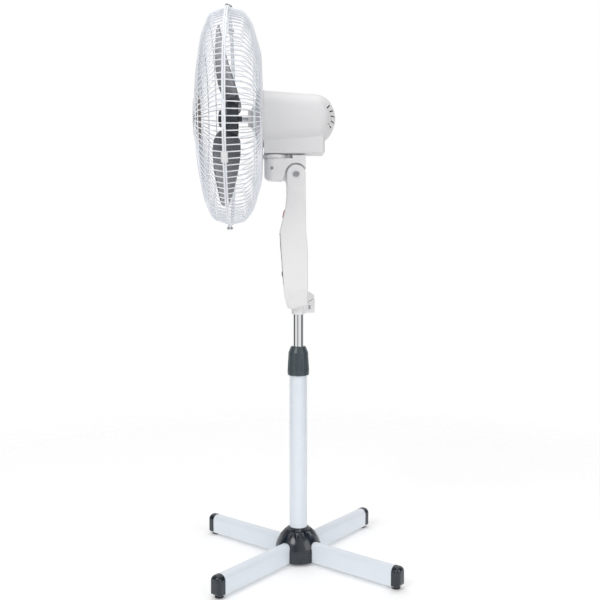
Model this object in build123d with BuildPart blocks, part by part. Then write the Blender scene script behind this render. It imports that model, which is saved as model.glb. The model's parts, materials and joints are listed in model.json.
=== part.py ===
from build123d import *
import math
import os

# Pedestal fan. Millimetres, +Z up, pole axis at X = Y = 0, floor at Z = 0, front towards -Y.

# ---- cross base
BASE_TURN = 4.8  # how far the cross is turned from the square's diagonals, degrees
LEG_W, LEG_H, LEG_WALL = 25.0, 38.0, 1.2
LEG_Z = 6.0  # underside of the legs
LEG_TOP_R, LEG_FOOT_R = 11.0, 3.0  # the tube's corner radii
LEG_REACH, CAP_REACH = 241.0, 253.0  # pole axis to the tube's cut end and to the cap's nose
PAD_R, PAD_REACH = 8.7, 239.0
HUB_R, HUB_WALL, HUB_Z0, HUB_Z1 = 47.5, 3.2, 4.5, 70.5
PETALS, PETAL_R, PETAL_DEPTH = 14, 5.5, 1.7

# ---- poles
POLE_R, POLE_WALL, POLE_Z0, POLE_Z1 = 18.5, 1.2, 50.0, 396.0
TUBE_R, TUBE_WALL, TUBE_Z0, TUBE_Z1 = 11.0, 1.2, 150.0, 562.0
RUN_GAP = 0.06  # radial running clearance of shafts and sleeves
COLLAR_R0, COLLAR_R1, COLLAR_TOP_R = 22.4, 20.3, 15.5
COLLAR_Z0, COLLAR_SHOULDER, COLLAR_Z1, FLUTES = 390.0, 437.0, 449.5, 20

# ---- control box and neck
BOX_HALF, NECK_HALF, BOX_WALL = 41.0, 22.0, 2.2
SPLIT_GAP = 0.15  # shut line between casings
PANEL_TOP, PANEL_FOOT = (-38.0, 684.0), (-30.5, 576.0)  # the front panel's upper and lower edge
TILT_Y, TILT_Z = -5.0, 800.0  # tilt pivot
EAR_R, FORK_HALF, TONGUE_HALF = 19.2, 13.0, 12.6
TILT_BOLT_R = 4.0

# ---- swing neck
SWING_Y = -47.0  # swivel pin
BRACKET_TOP = 831.4
PIN_R, BUSH_R = 5.0, 8.0
GEAR_MODULE, GEAR_TEETH, PINION_TEETH = 1.0, 40, 12
GEAR_H, GEAR_BACKLASH = 3.6, 0.3

# ---- fan head: the shaft runs along Y at this height
FAN_Z = 912.0
COVER_R = 57.0
COVER_Y0, COVER_SEAM, COVER_Y1 = -77.6, -69.5, 75.0
KEEL_HALF, KEEL_Z, KEEL_Y1 = 31.0, 841.0, 52.5
SHELL = 2.2
SHAFT_R = 4.0

# ---- guard
GUARD_R, RIM_WIRE_R, WIRE_R, WIRES = 214.7, 1.75, 1.05, 104
REAR_RIM_Y, FRONT_RIM_Y = -136.8, -140.8

# ---- blade
BLADES, BLADE_R, BLADE_HUB_R = 3, 189.0, 40.0
BLADE_PHASE = 30.0  # turn of the first blade about the shaft, degrees

FAN = Plane(origin=(0, 0, FAN_Z), x_dir=(0, 1, 0), z_dir=(1, 0, 0))  # local x = Y, local y = radius
FAN_AXIS = Axis((0, 0, FAN_Z), (0, 1, 0))

os.makedirs("parts", exist_ok=True)


def keep(piece, name):
    """Label a finished piece and write it under its own name."""
    piece.part.label = name
    export_step(piece.part, f"parts/{name}.step")


def across(y, z, x=0.0):
    """A plane square to X at a point, local x along Y and local y along Z."""
    return Plane(origin=(x, y, z), x_dir=(0, 1, 0), z_dir=(1, 0, 0))


def front_plane(y):
    """A plane square to the fan's shaft, its normal towards the front."""
    return Plane(origin=(0, y, FAN_Z), x_dir=(1, 0, 0), z_dir=(0, -1, 0))


def level(z, y=0.0, x=0.0):
    """A level plane with its origin at a point."""
    return Plane(origin=(x, y, z), x_dir=(1, 0, 0), z_dir=(0, 0, 1))


def dome_middle(top, base_r, height):
    """A point half way along a round dome's arc: where along its axis, and its radius."""
    sphere_r = (base_r**2 + height**2) / (2 * height)
    half = math.asin(base_r / sphere_r) / 2
    return (top - sphere_r * (1 - math.cos(half)), sphere_r * math.sin(half))


def turned(name, axis, plane, points):
    """Revolve one closed outline of straight lines and write it."""
    with BuildPart() as piece:
        with BuildSketch(plane):
            with BuildLine():
                Polyline(*points, close=True)
            make_face()
        revolve(axis=axis)
    keep(piece, name)
    return piece


# ============================================================ cross base
def leg_plane(angle):
    """A plane square to a leg: local x across it, local y up, its normal along it."""
    a = math.radians(angle)
    x_dir = (-math.sin(a), math.cos(a), 0)
    return Plane(origin=(0, 0, 0), x_dir=x_dir, z_dir=(math.cos(a), math.sin(a), 0))


def leg_section(plane, grow=0.0, drop=0.0):
    """The arch-topped section of a leg, grown outwards, with its foot dropped lower."""
    height = LEG_H + 2 * grow + drop
    with BuildSketch(plane) as section:
        with Locations((0, LEG_Z - grow - drop + height / 2)):
            Rectangle(LEG_W + 2 * grow, height)
        corners = section.vertices().group_by(Axis.Y)
        fillet(corners[-1], radius=LEG_TOP_R + grow)
        if drop == 0:
            fillet(corners[0], radius=LEG_FOOT_R + grow)
    return section.sketch


LAP_Z = LEG_Z + LEG_H / 2
LEG_ANGLES = {"cross_leg_lower": -45.0 + BASE_TURN, "cross_leg_upper": 45.0 + BASE_TURN}
for leg_name, leg_angle in LEG_ANGLES.items():
    keeps_foot = leg_name == "cross_leg_lower"
    with BuildPart() as leg:
        extrude(leg_section(leg_plane(leg_angle)), amount=LEG_REACH, both=True)
        hollow = leg_section(leg_plane(leg_angle), grow=-LEG_WALL)
        extrude(hollow, amount=LEG_REACH + 1, both=True, mode=Mode.SUBTRACT)
        notch_z = LAP_Z + LEG_H / 2 + 0.1 if keeps_foot else LAP_Z - LEG_H / 2 - 0.1
        with BuildSketch(Plane(origin=(0, 0, notch_z), x_dir=leg_plane(leg_angle).z_dir)):
            Rectangle(LEG_W + 0.4, LEG_W + 2)
        extrude(amount=-(LEG_H / 2 + 0.2) if keeps_foot else LEG_H / 2 + 0.2, mode=Mode.SUBTRACT)
        with BuildSketch(Plane.XY.offset(LEG_Z - 1)):
            Circle(4.4)
        extrude(amount=LEG_H + 2, mode=Mode.SUBTRACT)
    keep(leg, leg_name)

END_ANGLES = [a + half for a in LEG_ANGLES.values() for half in (0, 180)]
with BuildPart() as leg_caps:
    for end_angle in END_ANGLES:
        square = leg_plane(end_angle)
        nose = CAP_REACH - LEG_REACH
        with BuildPart(mode=Mode.PRIVATE) as cap_body:
            extrude(leg_section(square.offset(LEG_REACH + 0.05), grow=0.6), amount=nose)
            tip = cap_body.faces().sort_by(Axis(origin=(0, 0, 0), direction=square.z_dir))[-1]
            fillet(tip.edges(), radius=8.0)
            extrude(leg_section(square.offset(LEG_REACH - 20), grow=-LEG_WALL - 0.15), amount=20.1)
        add(cap_body.part)
keep(leg_caps, "leg_caps")

with BuildPart() as foot_pads:
    for end_angle in END_ANGLES:
        out = leg_plane(end_angle).z_dir
        with BuildSketch(level(0, PAD_REACH * out.Y, PAD_REACH * out.X)):
            Circle(PAD_R)
        extrude(amount=LEG_Z - 0.65)
sole_rims = foot_pads.edges().group_by(Axis.Z)[0]
with foot_pads:
    chamfer(sole_rims, length=0.9)
keep(foot_pads, "foot_pads")


def hub_outline(inset, foot):
    """Half outline of the hub bell in the YZ plane, moved inwards by `inset`."""
    skirt, shoulder, crown = HUB_R - inset, 30 - inset / 2, HUB_Z1 - inset
    with BuildSketch(Plane.YZ) as outline:
        with BuildLine():
            Polyline((skirt, shoulder), (skirt, foot), (0, foot), (0, crown), (POLE_R + 0.35, crown))
            ThreePointArc((skirt, shoulder), (38.6 - inset, 51 - inset / 2), (POLE_R + 0.35, crown))
        make_face()
    return outline.sketch


with BuildPart() as hub_cover:
    revolve(hub_outline(0, HUB_Z0), axis=Axis.Z)
    revolve(hub_outline(HUB_WALL, HUB_Z0 - 1), axis=Axis.Z, mode=Mode.SUBTRACT)
    with BuildSketch(Plane.XY.offset(HUB_Z1 - 10)):
        Circle(POLE_R + 0.35)
    extrude(amount=20, mode=Mode.SUBTRACT)
    for end_angle in END_ANGLES:
        doorway = leg_section(leg_plane(end_angle).offset(POLE_R), grow=0.5, drop=10)
        extrude(doorway, amount=60, mode=Mode.SUBTRACT)
    with BuildPart(mode=Mode.PRIVATE) as petal:
        # a round bar laid along the bell's slope leaves an almond-shaped hollow
        slope = Plane(origin=(0, 35.2, 55.2), x_dir=(1, 0, 0), z_dir=(0, 0.8, -0.6))
        with BuildSketch(slope.shift_origin(slope.from_local_coords((0, PETAL_R - PETAL_DEPTH, 0)))):
            Circle(PETAL_R)
        extrude(amount=14, both=True)
    for k in range(PETALS):
        add(petal.part.rotate(Axis.Z, BASE_TURN + k * 360 / PETALS), mode=Mode.SUBTRACT)
keep(hub_cover, "hub_cover")

with BuildPart() as outer_pole:
    with BuildSketch(Plane.XY.offset(POLE_Z0)):
        Circle(POLE_R)
        Circle(POLE_R - POLE_WALL, mode=Mode.SUBTRACT)
    extrude(amount=POLE_Z1 - POLE_Z0)
keep(outer_pole, "outer_pole")

plug_top, plug_r = 82.0, POLE_R - POLE_WALL - 0.05
turned("pole_foot_plug", Axis.Z, Plane.YZ, [
    (4.05, LEG_Z + LEG_H), (POLE_R + 0.2, LEG_Z + LEG_H), (POLE_R + 0.2, POLE_Z0),
    (plug_r, POLE_Z0), (plug_r, plug_top - 2), (plug_r - 2, plug_top), (4.05, plug_top),
])
turned("base_bolt", Axis.Z, Plane.YZ, [
    (0, 1.4), (6.5, 1.4), (6.5, 4.4), (10.5, 4.8), (10.5, LEG_Z), (4.0, LEG_Z), (4.0, 78), (0, 78),
])
turned("crossing_sleeve", Axis.Z, Plane.YZ, [
    (4.3, LEG_Z + LEG_WALL), (5.8, LEG_Z + LEG_WALL),
    (5.8, LEG_Z + LEG_H - LEG_WALL - 1.1), (4.3, LEG_Z + LEG_H - LEG_WALL - 1.1),
])

# ============================================================ height lock
collet_bore, thread_r = TUBE_R + RUN_GAP, 16.2
with BuildPart() as pole_collet:
    with BuildSketch(Plane.YZ):
        with BuildLine():
            Polyline(
                (collet_bore, POLE_Z1 - 34), (plug_r, POLE_Z1 - 34), (plug_r, POLE_Z1),
                (POLE_R, POLE_Z1), (POLE_R, POLE_Z1 + 3), (thread_r, POLE_Z1 + 3),
                (thread_r, 426), (14.6, 428), (12.9, 445), (collet_bore, 445), close=True,
            )
        make_face()
    revolve(axis=Axis.Z)
    for slot_angle in (0, 90, 180, 270):
        a = math.radians(slot_angle)
        with BuildSketch(Plane(origin=(0, 0, 446), x_dir=(math.cos(a), math.sin(a), 0))):
            with Locations((15, 0)):
                Rectangle(16, 1.4)
        extrude(amount=-38, mode=Mode.SUBTRACT)
keep(pole_collet, "pole_collet")

with BuildPart() as height_collar:
    with BuildSketch(Plane.YZ):
        with BuildLine():
            Polyline(
                (0, COLLAR_Z0), (COLLAR_R0 - 1.4, COLLAR_Z0), (COLLAR_R0, COLLAR_Z0 + 4),
                (COLLAR_R0, COLLAR_Z0 + 9), (COLLAR_R1, COLLAR_SHOULDER),
                (COLLAR_TOP_R, COLLAR_Z1 - 1), (COLLAR_TOP_R - 1, COLLAR_Z1), (0, COLLAR_Z1),
                close=True,
            )
        make_face()
    revolve(axis=Axis.Z)
    for k in range(FLUTES):
        a = math.radians(k * 360 / FLUTES)
        flute_r = COLLAR_R0 + 0.9
        with BuildSketch(level(COLLAR_Z0 + 10, flute_r * math.sin(a), flute_r * math.cos(a))):
            Circle(2.2)
        extrude(amount=60, taper=-0.9, mode=Mode.SUBTRACT)
    with BuildSketch(Plane.YZ):
        with BuildLine():
            Polyline(
                (0, COLLAR_Z0 - 1), (POLE_R + 0.35, COLLAR_Z0 - 1), (POLE_R + 0.35, POLE_Z1 + 3.3),
                (thread_r + RUN_GAP, POLE_Z1 + 3.3), (thread_r + RUN_GAP, 428), (14.75, 429.5),
                (13.05, 446), (TUBE_R + 0.35, 446), (TUBE_R + 0.35, 460), (0, 460), close=True,
            )
        make_face()
    revolve(axis=Axis.Z, mode=Mode.SUBTRACT)
keep(height_collar, "height_collar")

# ============================================================ sliding column
with BuildPart() as inner_pole:
    with BuildSketch(Plane.XY.offset(TUBE_Z0)):
        Circle(TUBE_R)
        Circle(TUBE_R - TUBE_WALL, mode=Mode.SUBTRACT)
    extrude(amount=TUBE_Z1 - TUBE_Z0)
keep(inner_pole, "inner_pole")

bush_out = POLE_R - POLE_WALL - RUN_GAP
turned("guide_bush", Axis.Z, Plane.YZ, [
    (4, TUBE_Z0 - 4), (bush_out - 1, TUBE_Z0 - 4), (bush_out, TUBE_Z0 - 2),
    (bush_out, TUBE_Z0 + 12), (TUBE_R + 0.02, TUBE_Z0 + 12), (TUBE_R + 0.02, TUBE_Z0 - 0.02),
    (4, TUBE_Z0 - 0.02),
])

SOCKET_R, SOCKET_Z0, SOCKET_Z1 = 14.0, 516.0, 600.0
BOSS_HALF, BOSS_Y, BOSS_Z = 8.5, 33.4, 519.0
CLAMP_Z, CLAMP_R, NUT_Y = 531.0, 2.5, 22.5
with BuildPart() as neck_socket:
    with BuildSketch(Plane.XY.offset(SOCKET_Z0)):
        Circle(SOCKET_R)
    extrude(amount=SOCKET_Z1 - SOCKET_Z0)
    with BuildSketch(Plane.YZ):
        with BuildLine():
            FilletPolyline(
                (0, BOSS_Z), (BOSS_Y, BOSS_Z), (BOSS_Y, 550.2), (18.8, 539.6), (18.8, 536.8),
                (0, 530.2), radius=[0, 1.5, 1.0, 0, 0, 0], close=True,
            )
        make_face()
    extrude(amount=BOSS_HALF, both=True)
    with BuildSketch(Plane.XY.offset(SOCKET_Z0)):
        Circle(TUBE_R + 0.03)
    extrude(amount=TUBE_Z1 - SOCKET_Z0 + 0.03, mode=Mode.SUBTRACT)
    with BuildSketch(Plane.XY.offset(TUBE_Z1)):
        Circle(8.5)
    extrude(amount=60, mode=Mode.SUBTRACT)
    with BuildSketch(Plane.XZ.offset(-BOSS_Y)):
        with Locations((0, CLAMP_Z)):
            Circle(CLAMP_R + 0.1)
    extrude(amount=BOSS_Y - 10, mode=Mode.SUBTRACT)
    with BuildSketch(Plane.XZ.offset(-BOSS_Y)):
        with Locations((0, CLAMP_Z)):
            Circle(4.4)
    extrude(amount=4.2, mode=Mode.SUBTRACT)
    with BuildSketch(across(NUT_Y, CLAMP_Z)):
        Rectangle(4.2, 8.2)
    extrude(amount=BOSS_HALF + 1, both=True, mode=Mode.SUBTRACT)
keep(neck_socket, "neck_socket")

turned("clamp_screw", Axis((0, 0, CLAMP_Z), (0, 1, 0)), across(0, CLAMP_Z), [
    (11.05, 0), (11.05, CLAMP_R - 0.4), (11.6, CLAMP_R), (29.4, CLAMP_R), (29.4, 4.2),
    (32.2, 3.4), (32.2, 1.2), (30.4, 1.2), (30.4, 0),
])
with BuildPart() as clamp_nut:
    with BuildSketch(across(NUT_Y, CLAMP_Z)):
        Rectangle(4.0, 8.0)
    extrude(amount=BOSS_HALF - 1.4, both=True)
    with BuildSketch(Plane.XZ.offset(-NUT_Y + 4)):
        with Locations((0, CLAMP_Z)):
            Circle(CLAMP_R + 0.05)
    extrude(amount=-8, mode=Mode.SUBTRACT)
keep(clamp_nut, "clamp_nut")


def box_side(inset):
    """Side outline of the control box and its neck in the YZ plane."""
    neck_front, neck_back = TILT_Y - EAR_R + inset, TILT_Y + EAR_R - inset
    neck_top = TILT_Z - inset * 14
    with BuildSketch(Plane.YZ) as outline:
        with BuildLine():
            FilletPolyline(
                (neck_back, neck_top), (neck_back, 690), (18.2 - inset, 646),
                (18.2 - inset, 537.2 + inset), (-12, 526.6 + inset), (-23.2 + inset, 530.6 + inset),
                (-28.4 + inset, 553), (PANEL_FOOT[0] + inset, PANEL_FOOT[1] - 3),
                (PANEL_TOP[0] + inset, PANEL_TOP[1] + 2), (-33.6 + inset, 704),
                (-25.6 + inset, 738), (neck_front, 756), (neck_front, neck_top),
                radius=[0, 40, 60, 3, 6, 5, 20, 30, 5, 25, 25, 40, 0], close=True,
            )
        make_face()
    return outline.sketch


def box_front(inset):
    """Front outline of the control box and its neck in the XZ plane."""
    half = [
        (NECK_HALF - inset, TILT_Z + EAR_R + 1), (NECK_HALF - inset, 764), (BOX_HALF - inset, 702),
        (BOX_HALF - 2 - inset, 566), (24 - inset, 526 + inset),
    ]
    mirrored = [(-x, z) for x, z in reversed(half)]
    with BuildSketch(Plane.XZ) as outline:
        with BuildLine():
            FilletPolyline(
                *half, *mirrored, radius=[0, 40, 50, 24, 14, 14, 24, 50, 40, 0], close=True
            )
        make_face()
    return outline.sketch


EAR = across(TILT_Y, TILT_Z)
with BuildPart() as box_blank:
    extrude(box_side(0), amount=BOX_HALF + 2, both=True)
    with BuildSketch(EAR):
        Circle(EAR_R)
    extrude(amount=NECK_HALF, both=True)
    extrude(box_front(0), amount=80, both=True, mode=Mode.INTERSECT)
    long_edges = box_blank.edges().filter_by(lambda e: e.length > 55 and abs(e.center().X) > 20)
    fillet(long_edges, radius=3.0)

with BuildPart() as box_cavity:
    extrude(box_side(BOX_WALL), amount=BOX_HALF + 2, both=True)
    extrude(box_front(BOX_WALL), amount=80, both=True, mode=Mode.INTERSECT)

BACK_HALF, BACK_Z0, BACK_Z1 = 34.0, 546.0, 690.0  # the opening that the back cover fills
PANEL_HALF = 31.0
panel_mid = ((PANEL_TOP[0] + PANEL_FOOT[0]) / 2, (PANEL_TOP[1] + PANEL_FOOT[1]) / 2)
panel_dir = Vector(0, PANEL_TOP[0] - PANEL_FOOT[0], PANEL_TOP[1] - PANEL_FOOT[1]).normalized()
panel_out = Vector(0, -panel_dir.Z, panel_dir.Y)
PANEL = Plane(origin=(0, *panel_mid), x_dir=(1, 0, 0), z_dir=panel_out)
PANEL_H = math.dist(PANEL_TOP, PANEL_FOOT) - 2
KEYS = {"speed_button": (-16, -32), "timer_button": (0, -32), "swing_button": (16, -32)}
KEY_R = 5.2
slope_mid = (-29.6, 721.0)  # middle of the upper slope, where the power key sits
slope_out = Vector(0, -34, 8).normalized()
SLOPE = Plane(origin=(0, *slope_mid), x_dir=(1, 0, 0), z_dir=slope_out)
POWER_R = 8.6

POST_Y = 8.0  # where the housing's screw posts meet the back cover's
SCREW_X, SCREW_ZS = 28.5, (558.0, 678.0)  # the back cover's screws
BACK_POINTS = [(x, z) for x in (-SCREW_X, SCREW_X) for z in SCREW_ZS]
with BuildPart() as screw_posts:
    with BuildSketch(Plane.XZ.offset(10)):
        with Locations(*[(x * 1.2, z) for x, z in BACK_POINTS]):
            Rectangle(22, 8)
    extrude(amount=-60)
    add(box_cavity.part, mode=Mode.INTERSECT)
    with BuildSketch(Plane.XZ.offset(10)):
        with Locations(*BACK_POINTS):
            Circle(1.5)
    extrude(amount=-60, mode=Mode.SUBTRACT)

with BuildPart() as control_housing:
    add(box_blank.part)
    add(box_cavity.part, mode=Mode.SUBTRACT)
    add(screw_posts.part)
    with BuildSketch(Plane.XY.offset(500)):
        Circle(SOCKET_R + 0.1)
    extrude(amount=60, mode=Mode.SUBTRACT)
    with BuildSketch(Plane.XZ.offset(-POST_Y)):
        with Locations((0, (BACK_Z0 + BACK_Z1) / 2)):
            RectangleRounded(2 * BACK_HALF, BACK_Z1 - BACK_Z0, 8)
    extrude(amount=-30, mode=Mode.SUBTRACT)
    with BuildSketch(PANEL.offset(-BOX_WALL - 1)):
        RectangleRounded(2 * PANEL_HALF, PANEL_H, 14)
    extrude(amount=8, mode=Mode.SUBTRACT)
    with BuildSketch(SLOPE.offset(-8)):
        Circle(POWER_R + 0.4)
    extrude(amount=16, mode=Mode.SUBTRACT)
    with BuildSketch(Plane.XZ.offset(-TILT_Y - 50)):
        with Locations((0, 773)):
            Rectangle(2 * FORK_HALF, 60, align=(Align.CENTER, Align.MIN))
    extrude(amount=100, mode=Mode.SUBTRACT)
    with BuildSketch(EAR):
        Circle(TILT_BOLT_R + 0.1)
    extrude(amount=40, both=True, mode=Mode.SUBTRACT)
keep(control_housing, "control_housing")

cord_z = 626.0  # height of the cord's inlet in the back cover
with BuildPart() as control_back_cover:
    add(box_blank.part)
    with BuildSketch(Plane.XZ.offset(-POST_Y - 0.05)):
        with Locations((0, (BACK_Z0 + BACK_Z1) / 2)):
            RectangleRounded(
                2 * (BACK_HALF - SPLIT_GAP), BACK_Z1 - BACK_Z0 - 2 * SPLIT_GAP, 8 - SPLIT_GAP
            )
    extrude(amount=-30, mode=Mode.INTERSECT)
    add(box_cavity.part, mode=Mode.SUBTRACT)
    with BuildPart(mode=Mode.PRIVATE) as cover_posts:
        with BuildSketch(Plane.XZ.offset(-POST_Y - 0.05)):
            with Locations(*BACK_POINTS):
                Circle(4.2)
        extrude(amount=-20)
        add(box_blank.part, mode=Mode.INTERSECT)
    add(cover_posts.part)
    with BuildSketch(Plane.YZ):
        with BuildLine():
            FilletPolyline(
                (16.5, 563), (24, 561), (31.8, 555.5), (33.2, 552.4), (18.4, 541.6), (18.4, 546.3),
                (16.5, 546.3), radius=[0, 6, 3, 1.5, 0, 0, 0], close=True,
            )
        make_face()
    extrude(amount=9.5, both=True)
    with BuildSketch(Plane.XZ.offset(-POST_Y)):
        with Locations(*BACK_POINTS):
            Circle(1.6)
        with Locations((0, cord_z)):
            Circle(4.6)
    extrude(amount=-20, mode=Mode.SUBTRACT)
    for screw_z, seat_y in zip(SCREW_ZS, (15.8, 12.9)):
        with BuildSketch(Plane.XZ.offset(-seat_y)):
            with Locations((-SCREW_X, screw_z), (SCREW_X, screw_z)):
                Circle(3.4)
        extrude(amount=-6, mode=Mode.SUBTRACT)
keep(control_back_cover, "control_back_cover")

with BuildPart() as back_cover_screws:
    for screw_z, seat_y in zip(SCREW_ZS, (15.8, 12.9)):
        for side in (-SCREW_X, SCREW_X):
            with BuildSketch(across(0, screw_z, side)):
                with BuildLine():
                    Polyline(
                        (-3, 0), (-2, 1.45), (seat_y, 1.45), (seat_y, 3.1), (seat_y + 1.1, 3.0),
                        (seat_y + 1.9, 2.0), (seat_y + 1.9, 1.0), (seat_y + 0.7, 0.6),
                        (seat_y + 0.7, 0), close=True,
                    )
                make_face()
            revolve(axis=Axis((side, 0, screw_z), (0, 1, 0)))
keep(back_cover_screws, "back_cover_screws")

turned("cord_gland", Axis((0, 0, cord_z), (0, 1, 0)), across(0, cord_z), [
    (11.9, 2.8), (11.9, 7.0), (13.9, 7.0), (15.6, 6.2), (15.6, 4.5), (18.2, 4.5), (18.6, 4.0),
    (18.6, 2.8),
])

# ---- front panel, keys and electronics
LENS_W, LENS_H, LENS_Y = 38.0, 20.0, 24.0
KEY_GAP, KEY_TRAVEL, PLATE, PLATE_PROUD = 0.25, 1.2, 2.0, 0.7
BOARD_DEPTH, POWER_DEPTH = 10.0, 13.5
with BuildPart() as control_fascia:
    with BuildSketch(PANEL.offset(-PLATE)):
        RectangleRounded(2 * (PANEL_HALF - SPLIT_GAP), PANEL_H - 2 * SPLIT_GAP, 14 - SPLIT_GAP)
        with Locations((0, LENS_Y)):
            RectangleRounded(LENS_W + 0.2, LENS_H + 0.2, 3.1, mode=Mode.SUBTRACT)
        with Locations(*KEYS.values()):
            Circle(KEY_R + KEY_GAP, mode=Mode.SUBTRACT)
    extrude(amount=PLATE + PLATE_PROUD)
    front_rim = control_fascia.faces().sort_by(Axis.Y)[0].outer_wire().edges()
    chamfer(front_rim, length=0.5)
    with BuildSketch(PANEL.offset(-PLATE)):
        with Locations((0, LENS_Y + 17), (0, LENS_Y - 17), (24, LENS_Y - 17), (-24, LENS_Y - 17)):
            Circle(2.6)
    extrude(amount=-(BOARD_DEPTH - PLATE))
keep(control_fascia, "control_fascia")

with BuildPart() as display_lens:
    with BuildSketch(PANEL.offset(-PLATE)):
        with Locations((0, LENS_Y)):
            RectangleRounded(LENS_W, LENS_H, 3)
    extrude(amount=PLATE + PLATE_PROUD - 0.2)
    lens_rim = display_lens.faces().sort_by(Axis.Y)[0].edges()
    chamfer(lens_rim, length=0.3)
keep(display_lens, "display_lens")

with BuildPart() as circuit_board:
    with BuildSketch(PANEL.offset(-BOARD_DEPTH - 1.6)):
        RectangleRounded(56, 94, 2)
    extrude(amount=1.6)
    with BuildSketch(SLOPE.offset(-POWER_DEPTH - 1.6)):
        RectangleRounded(18, 12, 1)
    extrude(amount=1.6)
keep(circuit_board, "circuit_board")

SWITCH_H, STEM_R = 3.6, 1.6
with BuildPart() as tact_switches:
    with BuildSketch(PANEL.offset(-BOARD_DEPTH)):
        with Locations(*KEYS.values()):
            Rectangle(6, 6)
    extrude(amount=SWITCH_H - 0.8)
    with BuildSketch(PANEL.offset(-BOARD_DEPTH + SWITCH_H - 0.8)):
        with Locations(*KEYS.values()):
            Circle(1.7)
    extrude(amount=0.8)
    with BuildSketch(SLOPE.offset(-POWER_DEPTH)):
        Rectangle(6, 6)
    extrude(amount=SWITCH_H - 0.8)
    with BuildSketch(SLOPE.offset(-POWER_DEPTH + SWITCH_H - 0.8)):
        Circle(1.7)
    extrude(amount=0.8)
keep(tact_switches, "tact_switches")


def key(name, face, spot, radius, proud, wall, depth):
    """A domed round key with a retaining flange behind the wall and a stem to its switch."""
    stem_end = -depth + SWITCH_H + KEY_TRAVEL + 0.1
    centre = face.from_local_coords((spot[0], spot[1], 0))
    side = Plane(origin=centre, x_dir=face.z_dir, z_dir=face.x_dir)  # local x points outwards
    with BuildPart() as cap:
        with BuildSketch(side):
            with BuildLine():
                Polyline(
                    (proud, 0), (stem_end, 0), (stem_end, STEM_R), (-wall - 1.4, STEM_R),
                    (-wall - 1.4, radius + 0.9), (-wall - 0.3, radius + 0.9), (-wall - 0.3, radius),
                    (proud - 1.0, radius), (proud - 0.45, radius * 0.9),
                )
                ThreePointArc(
                    (proud - 0.45, radius * 0.9), dome_middle(proud, radius * 0.9, 0.45), (proud, 0)
                )
            make_face()
        revolve(axis=Axis(centre, face.z_dir))
    keep(cap, name)


for key_name, key_spot in KEYS.items():
    key(key_name, PANEL, key_spot, KEY_R, 1.3 + PLATE_PROUD, PLATE, BOARD_DEPTH)
key("power_button", SLOPE, (0, 0), POWER_R, 2.0, 5.0, POWER_DEPTH)

with BuildPart() as run_capacitor:
    with BuildSketch(Plane.XZ.offset(8)):
        with Locations((0, 660)):
            RectangleRounded(30, 22, 2)
    extrude(amount=-14)
keep(run_capacitor, "run_capacitor")

# ---- tilt bolt through the neck's two ears
HEX_R, HEAD_H = 5.9, 3.6
with BuildPart() as tilt_bolt:
    with BuildSketch(across(TILT_Y, TILT_Z, NECK_HALF + HEAD_H)):
        Circle(HEX_R)
    extrude(amount=-HEAD_H)
    chamfer(tilt_bolt.edges().sort_by(Axis.X)[-1], length=0.8)
    with BuildSketch(across(TILT_Y, TILT_Z, NECK_HALF + HEAD_H)):
        RegularPolygon(radius=2.9, side_count=6)
    extrude(amount=-2.2, mode=Mode.SUBTRACT)
    with BuildSketch(across(TILT_Y, TILT_Z, NECK_HALF)):
        Circle(TILT_BOLT_R)
    extrude(amount=-(2 * NECK_HALF + 6.5))
keep(tilt_bolt, "tilt_bolt")
with BuildPart() as tilt_nut:
    with BuildSketch(across(TILT_Y, TILT_Z, -NECK_HALF)):
        RegularPolygon(radius=7.2, side_count=6)
        Circle(TILT_BOLT_R, mode=Mode.SUBTRACT)
    extrude(amount=-5.5)
    chamfer(tilt_nut.edges().group_by(Axis.X)[0], length=0.5)
keep(tilt_nut, "tilt_nut")

# ============================================================ tilting neck block
TILT_EYE = across(TILT_Y, TILT_Z)
RELIEF_R = 22.6
BLOCK_REAR_Y, BLOCK_STEP_Y, BLOCK_REAR_Z = 14.5, -9.6, 838.0
BUSH_Z0 = 797.0
SCREW_Y, SCREW_IN, SCREW_OUT = -53.7, 12.0, 21.2  # the block's side screws
with BuildPart() as tilt_bracket:
    with BuildSketch(Plane.YZ):
        with BuildLine():
            FilletPolyline(
                (-70, BRACKET_TOP), (-70, 788), (-33, 787.5), (-27.5, 801), (BLOCK_REAR_Y, 801),
                (BLOCK_REAR_Y, BLOCK_REAR_Z), (BLOCK_STEP_Y, BLOCK_REAR_Z),
                (BLOCK_STEP_Y, BRACKET_TOP),
                radius=[0, 13, 4, 0, 0, 2, 2, 0], close=True,
            )
        make_face()
    extrude(amount=NECK_HALF, both=True)
    with BuildSketch(TILT_EYE):
        Circle(RELIEF_R)
    extrude(amount=40, both=True, mode=Mode.SUBTRACT)
    with BuildSketch(Plane.XY.offset(760)):
        with BuildLine():
            Polyline(
                (NECK_HALF, SWING_Y), (NECK_HALF, BLOCK_REAR_Y), (-NECK_HALF, BLOCK_REAR_Y),
                (-NECK_HALF, SWING_Y),
            )
            ThreePointArc((-NECK_HALF, SWING_Y), (0, SWING_Y - NECK_HALF), (NECK_HALF, SWING_Y))
        make_face()
    extrude(amount=100, mode=Mode.INTERSECT)
    with BuildSketch(TILT_EYE):
        Circle(17.5)
        with Locations((-TILT_Y, -TILT_Z)):
            Polygon(
                (-36, 829), (-36, 792), (-19.6, 782.8), (-5, 783), (8, 806), (8, 829),
                align=None,
            )
    extrude(amount=TONGUE_HALF, both=True)
    with BuildSketch(TILT_EYE):
        Circle(TILT_BOLT_R + RUN_GAP)
    extrude(amount=40, both=True, mode=Mode.SUBTRACT)
    with BuildSketch(level(BUSH_Z0 - 0.02, SWING_Y)):
        Circle(BUSH_R + 0.02)
    extrude(amount=60, mode=Mode.SUBTRACT)
    for side in (-1, 1):
        with BuildSketch(across(SCREW_Y, 812, side * SCREW_IN)):
            Circle(3.5)
        extrude(amount=side * 30, mode=Mode.SUBTRACT)
keep(tilt_bracket, "tilt_bracket")

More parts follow.
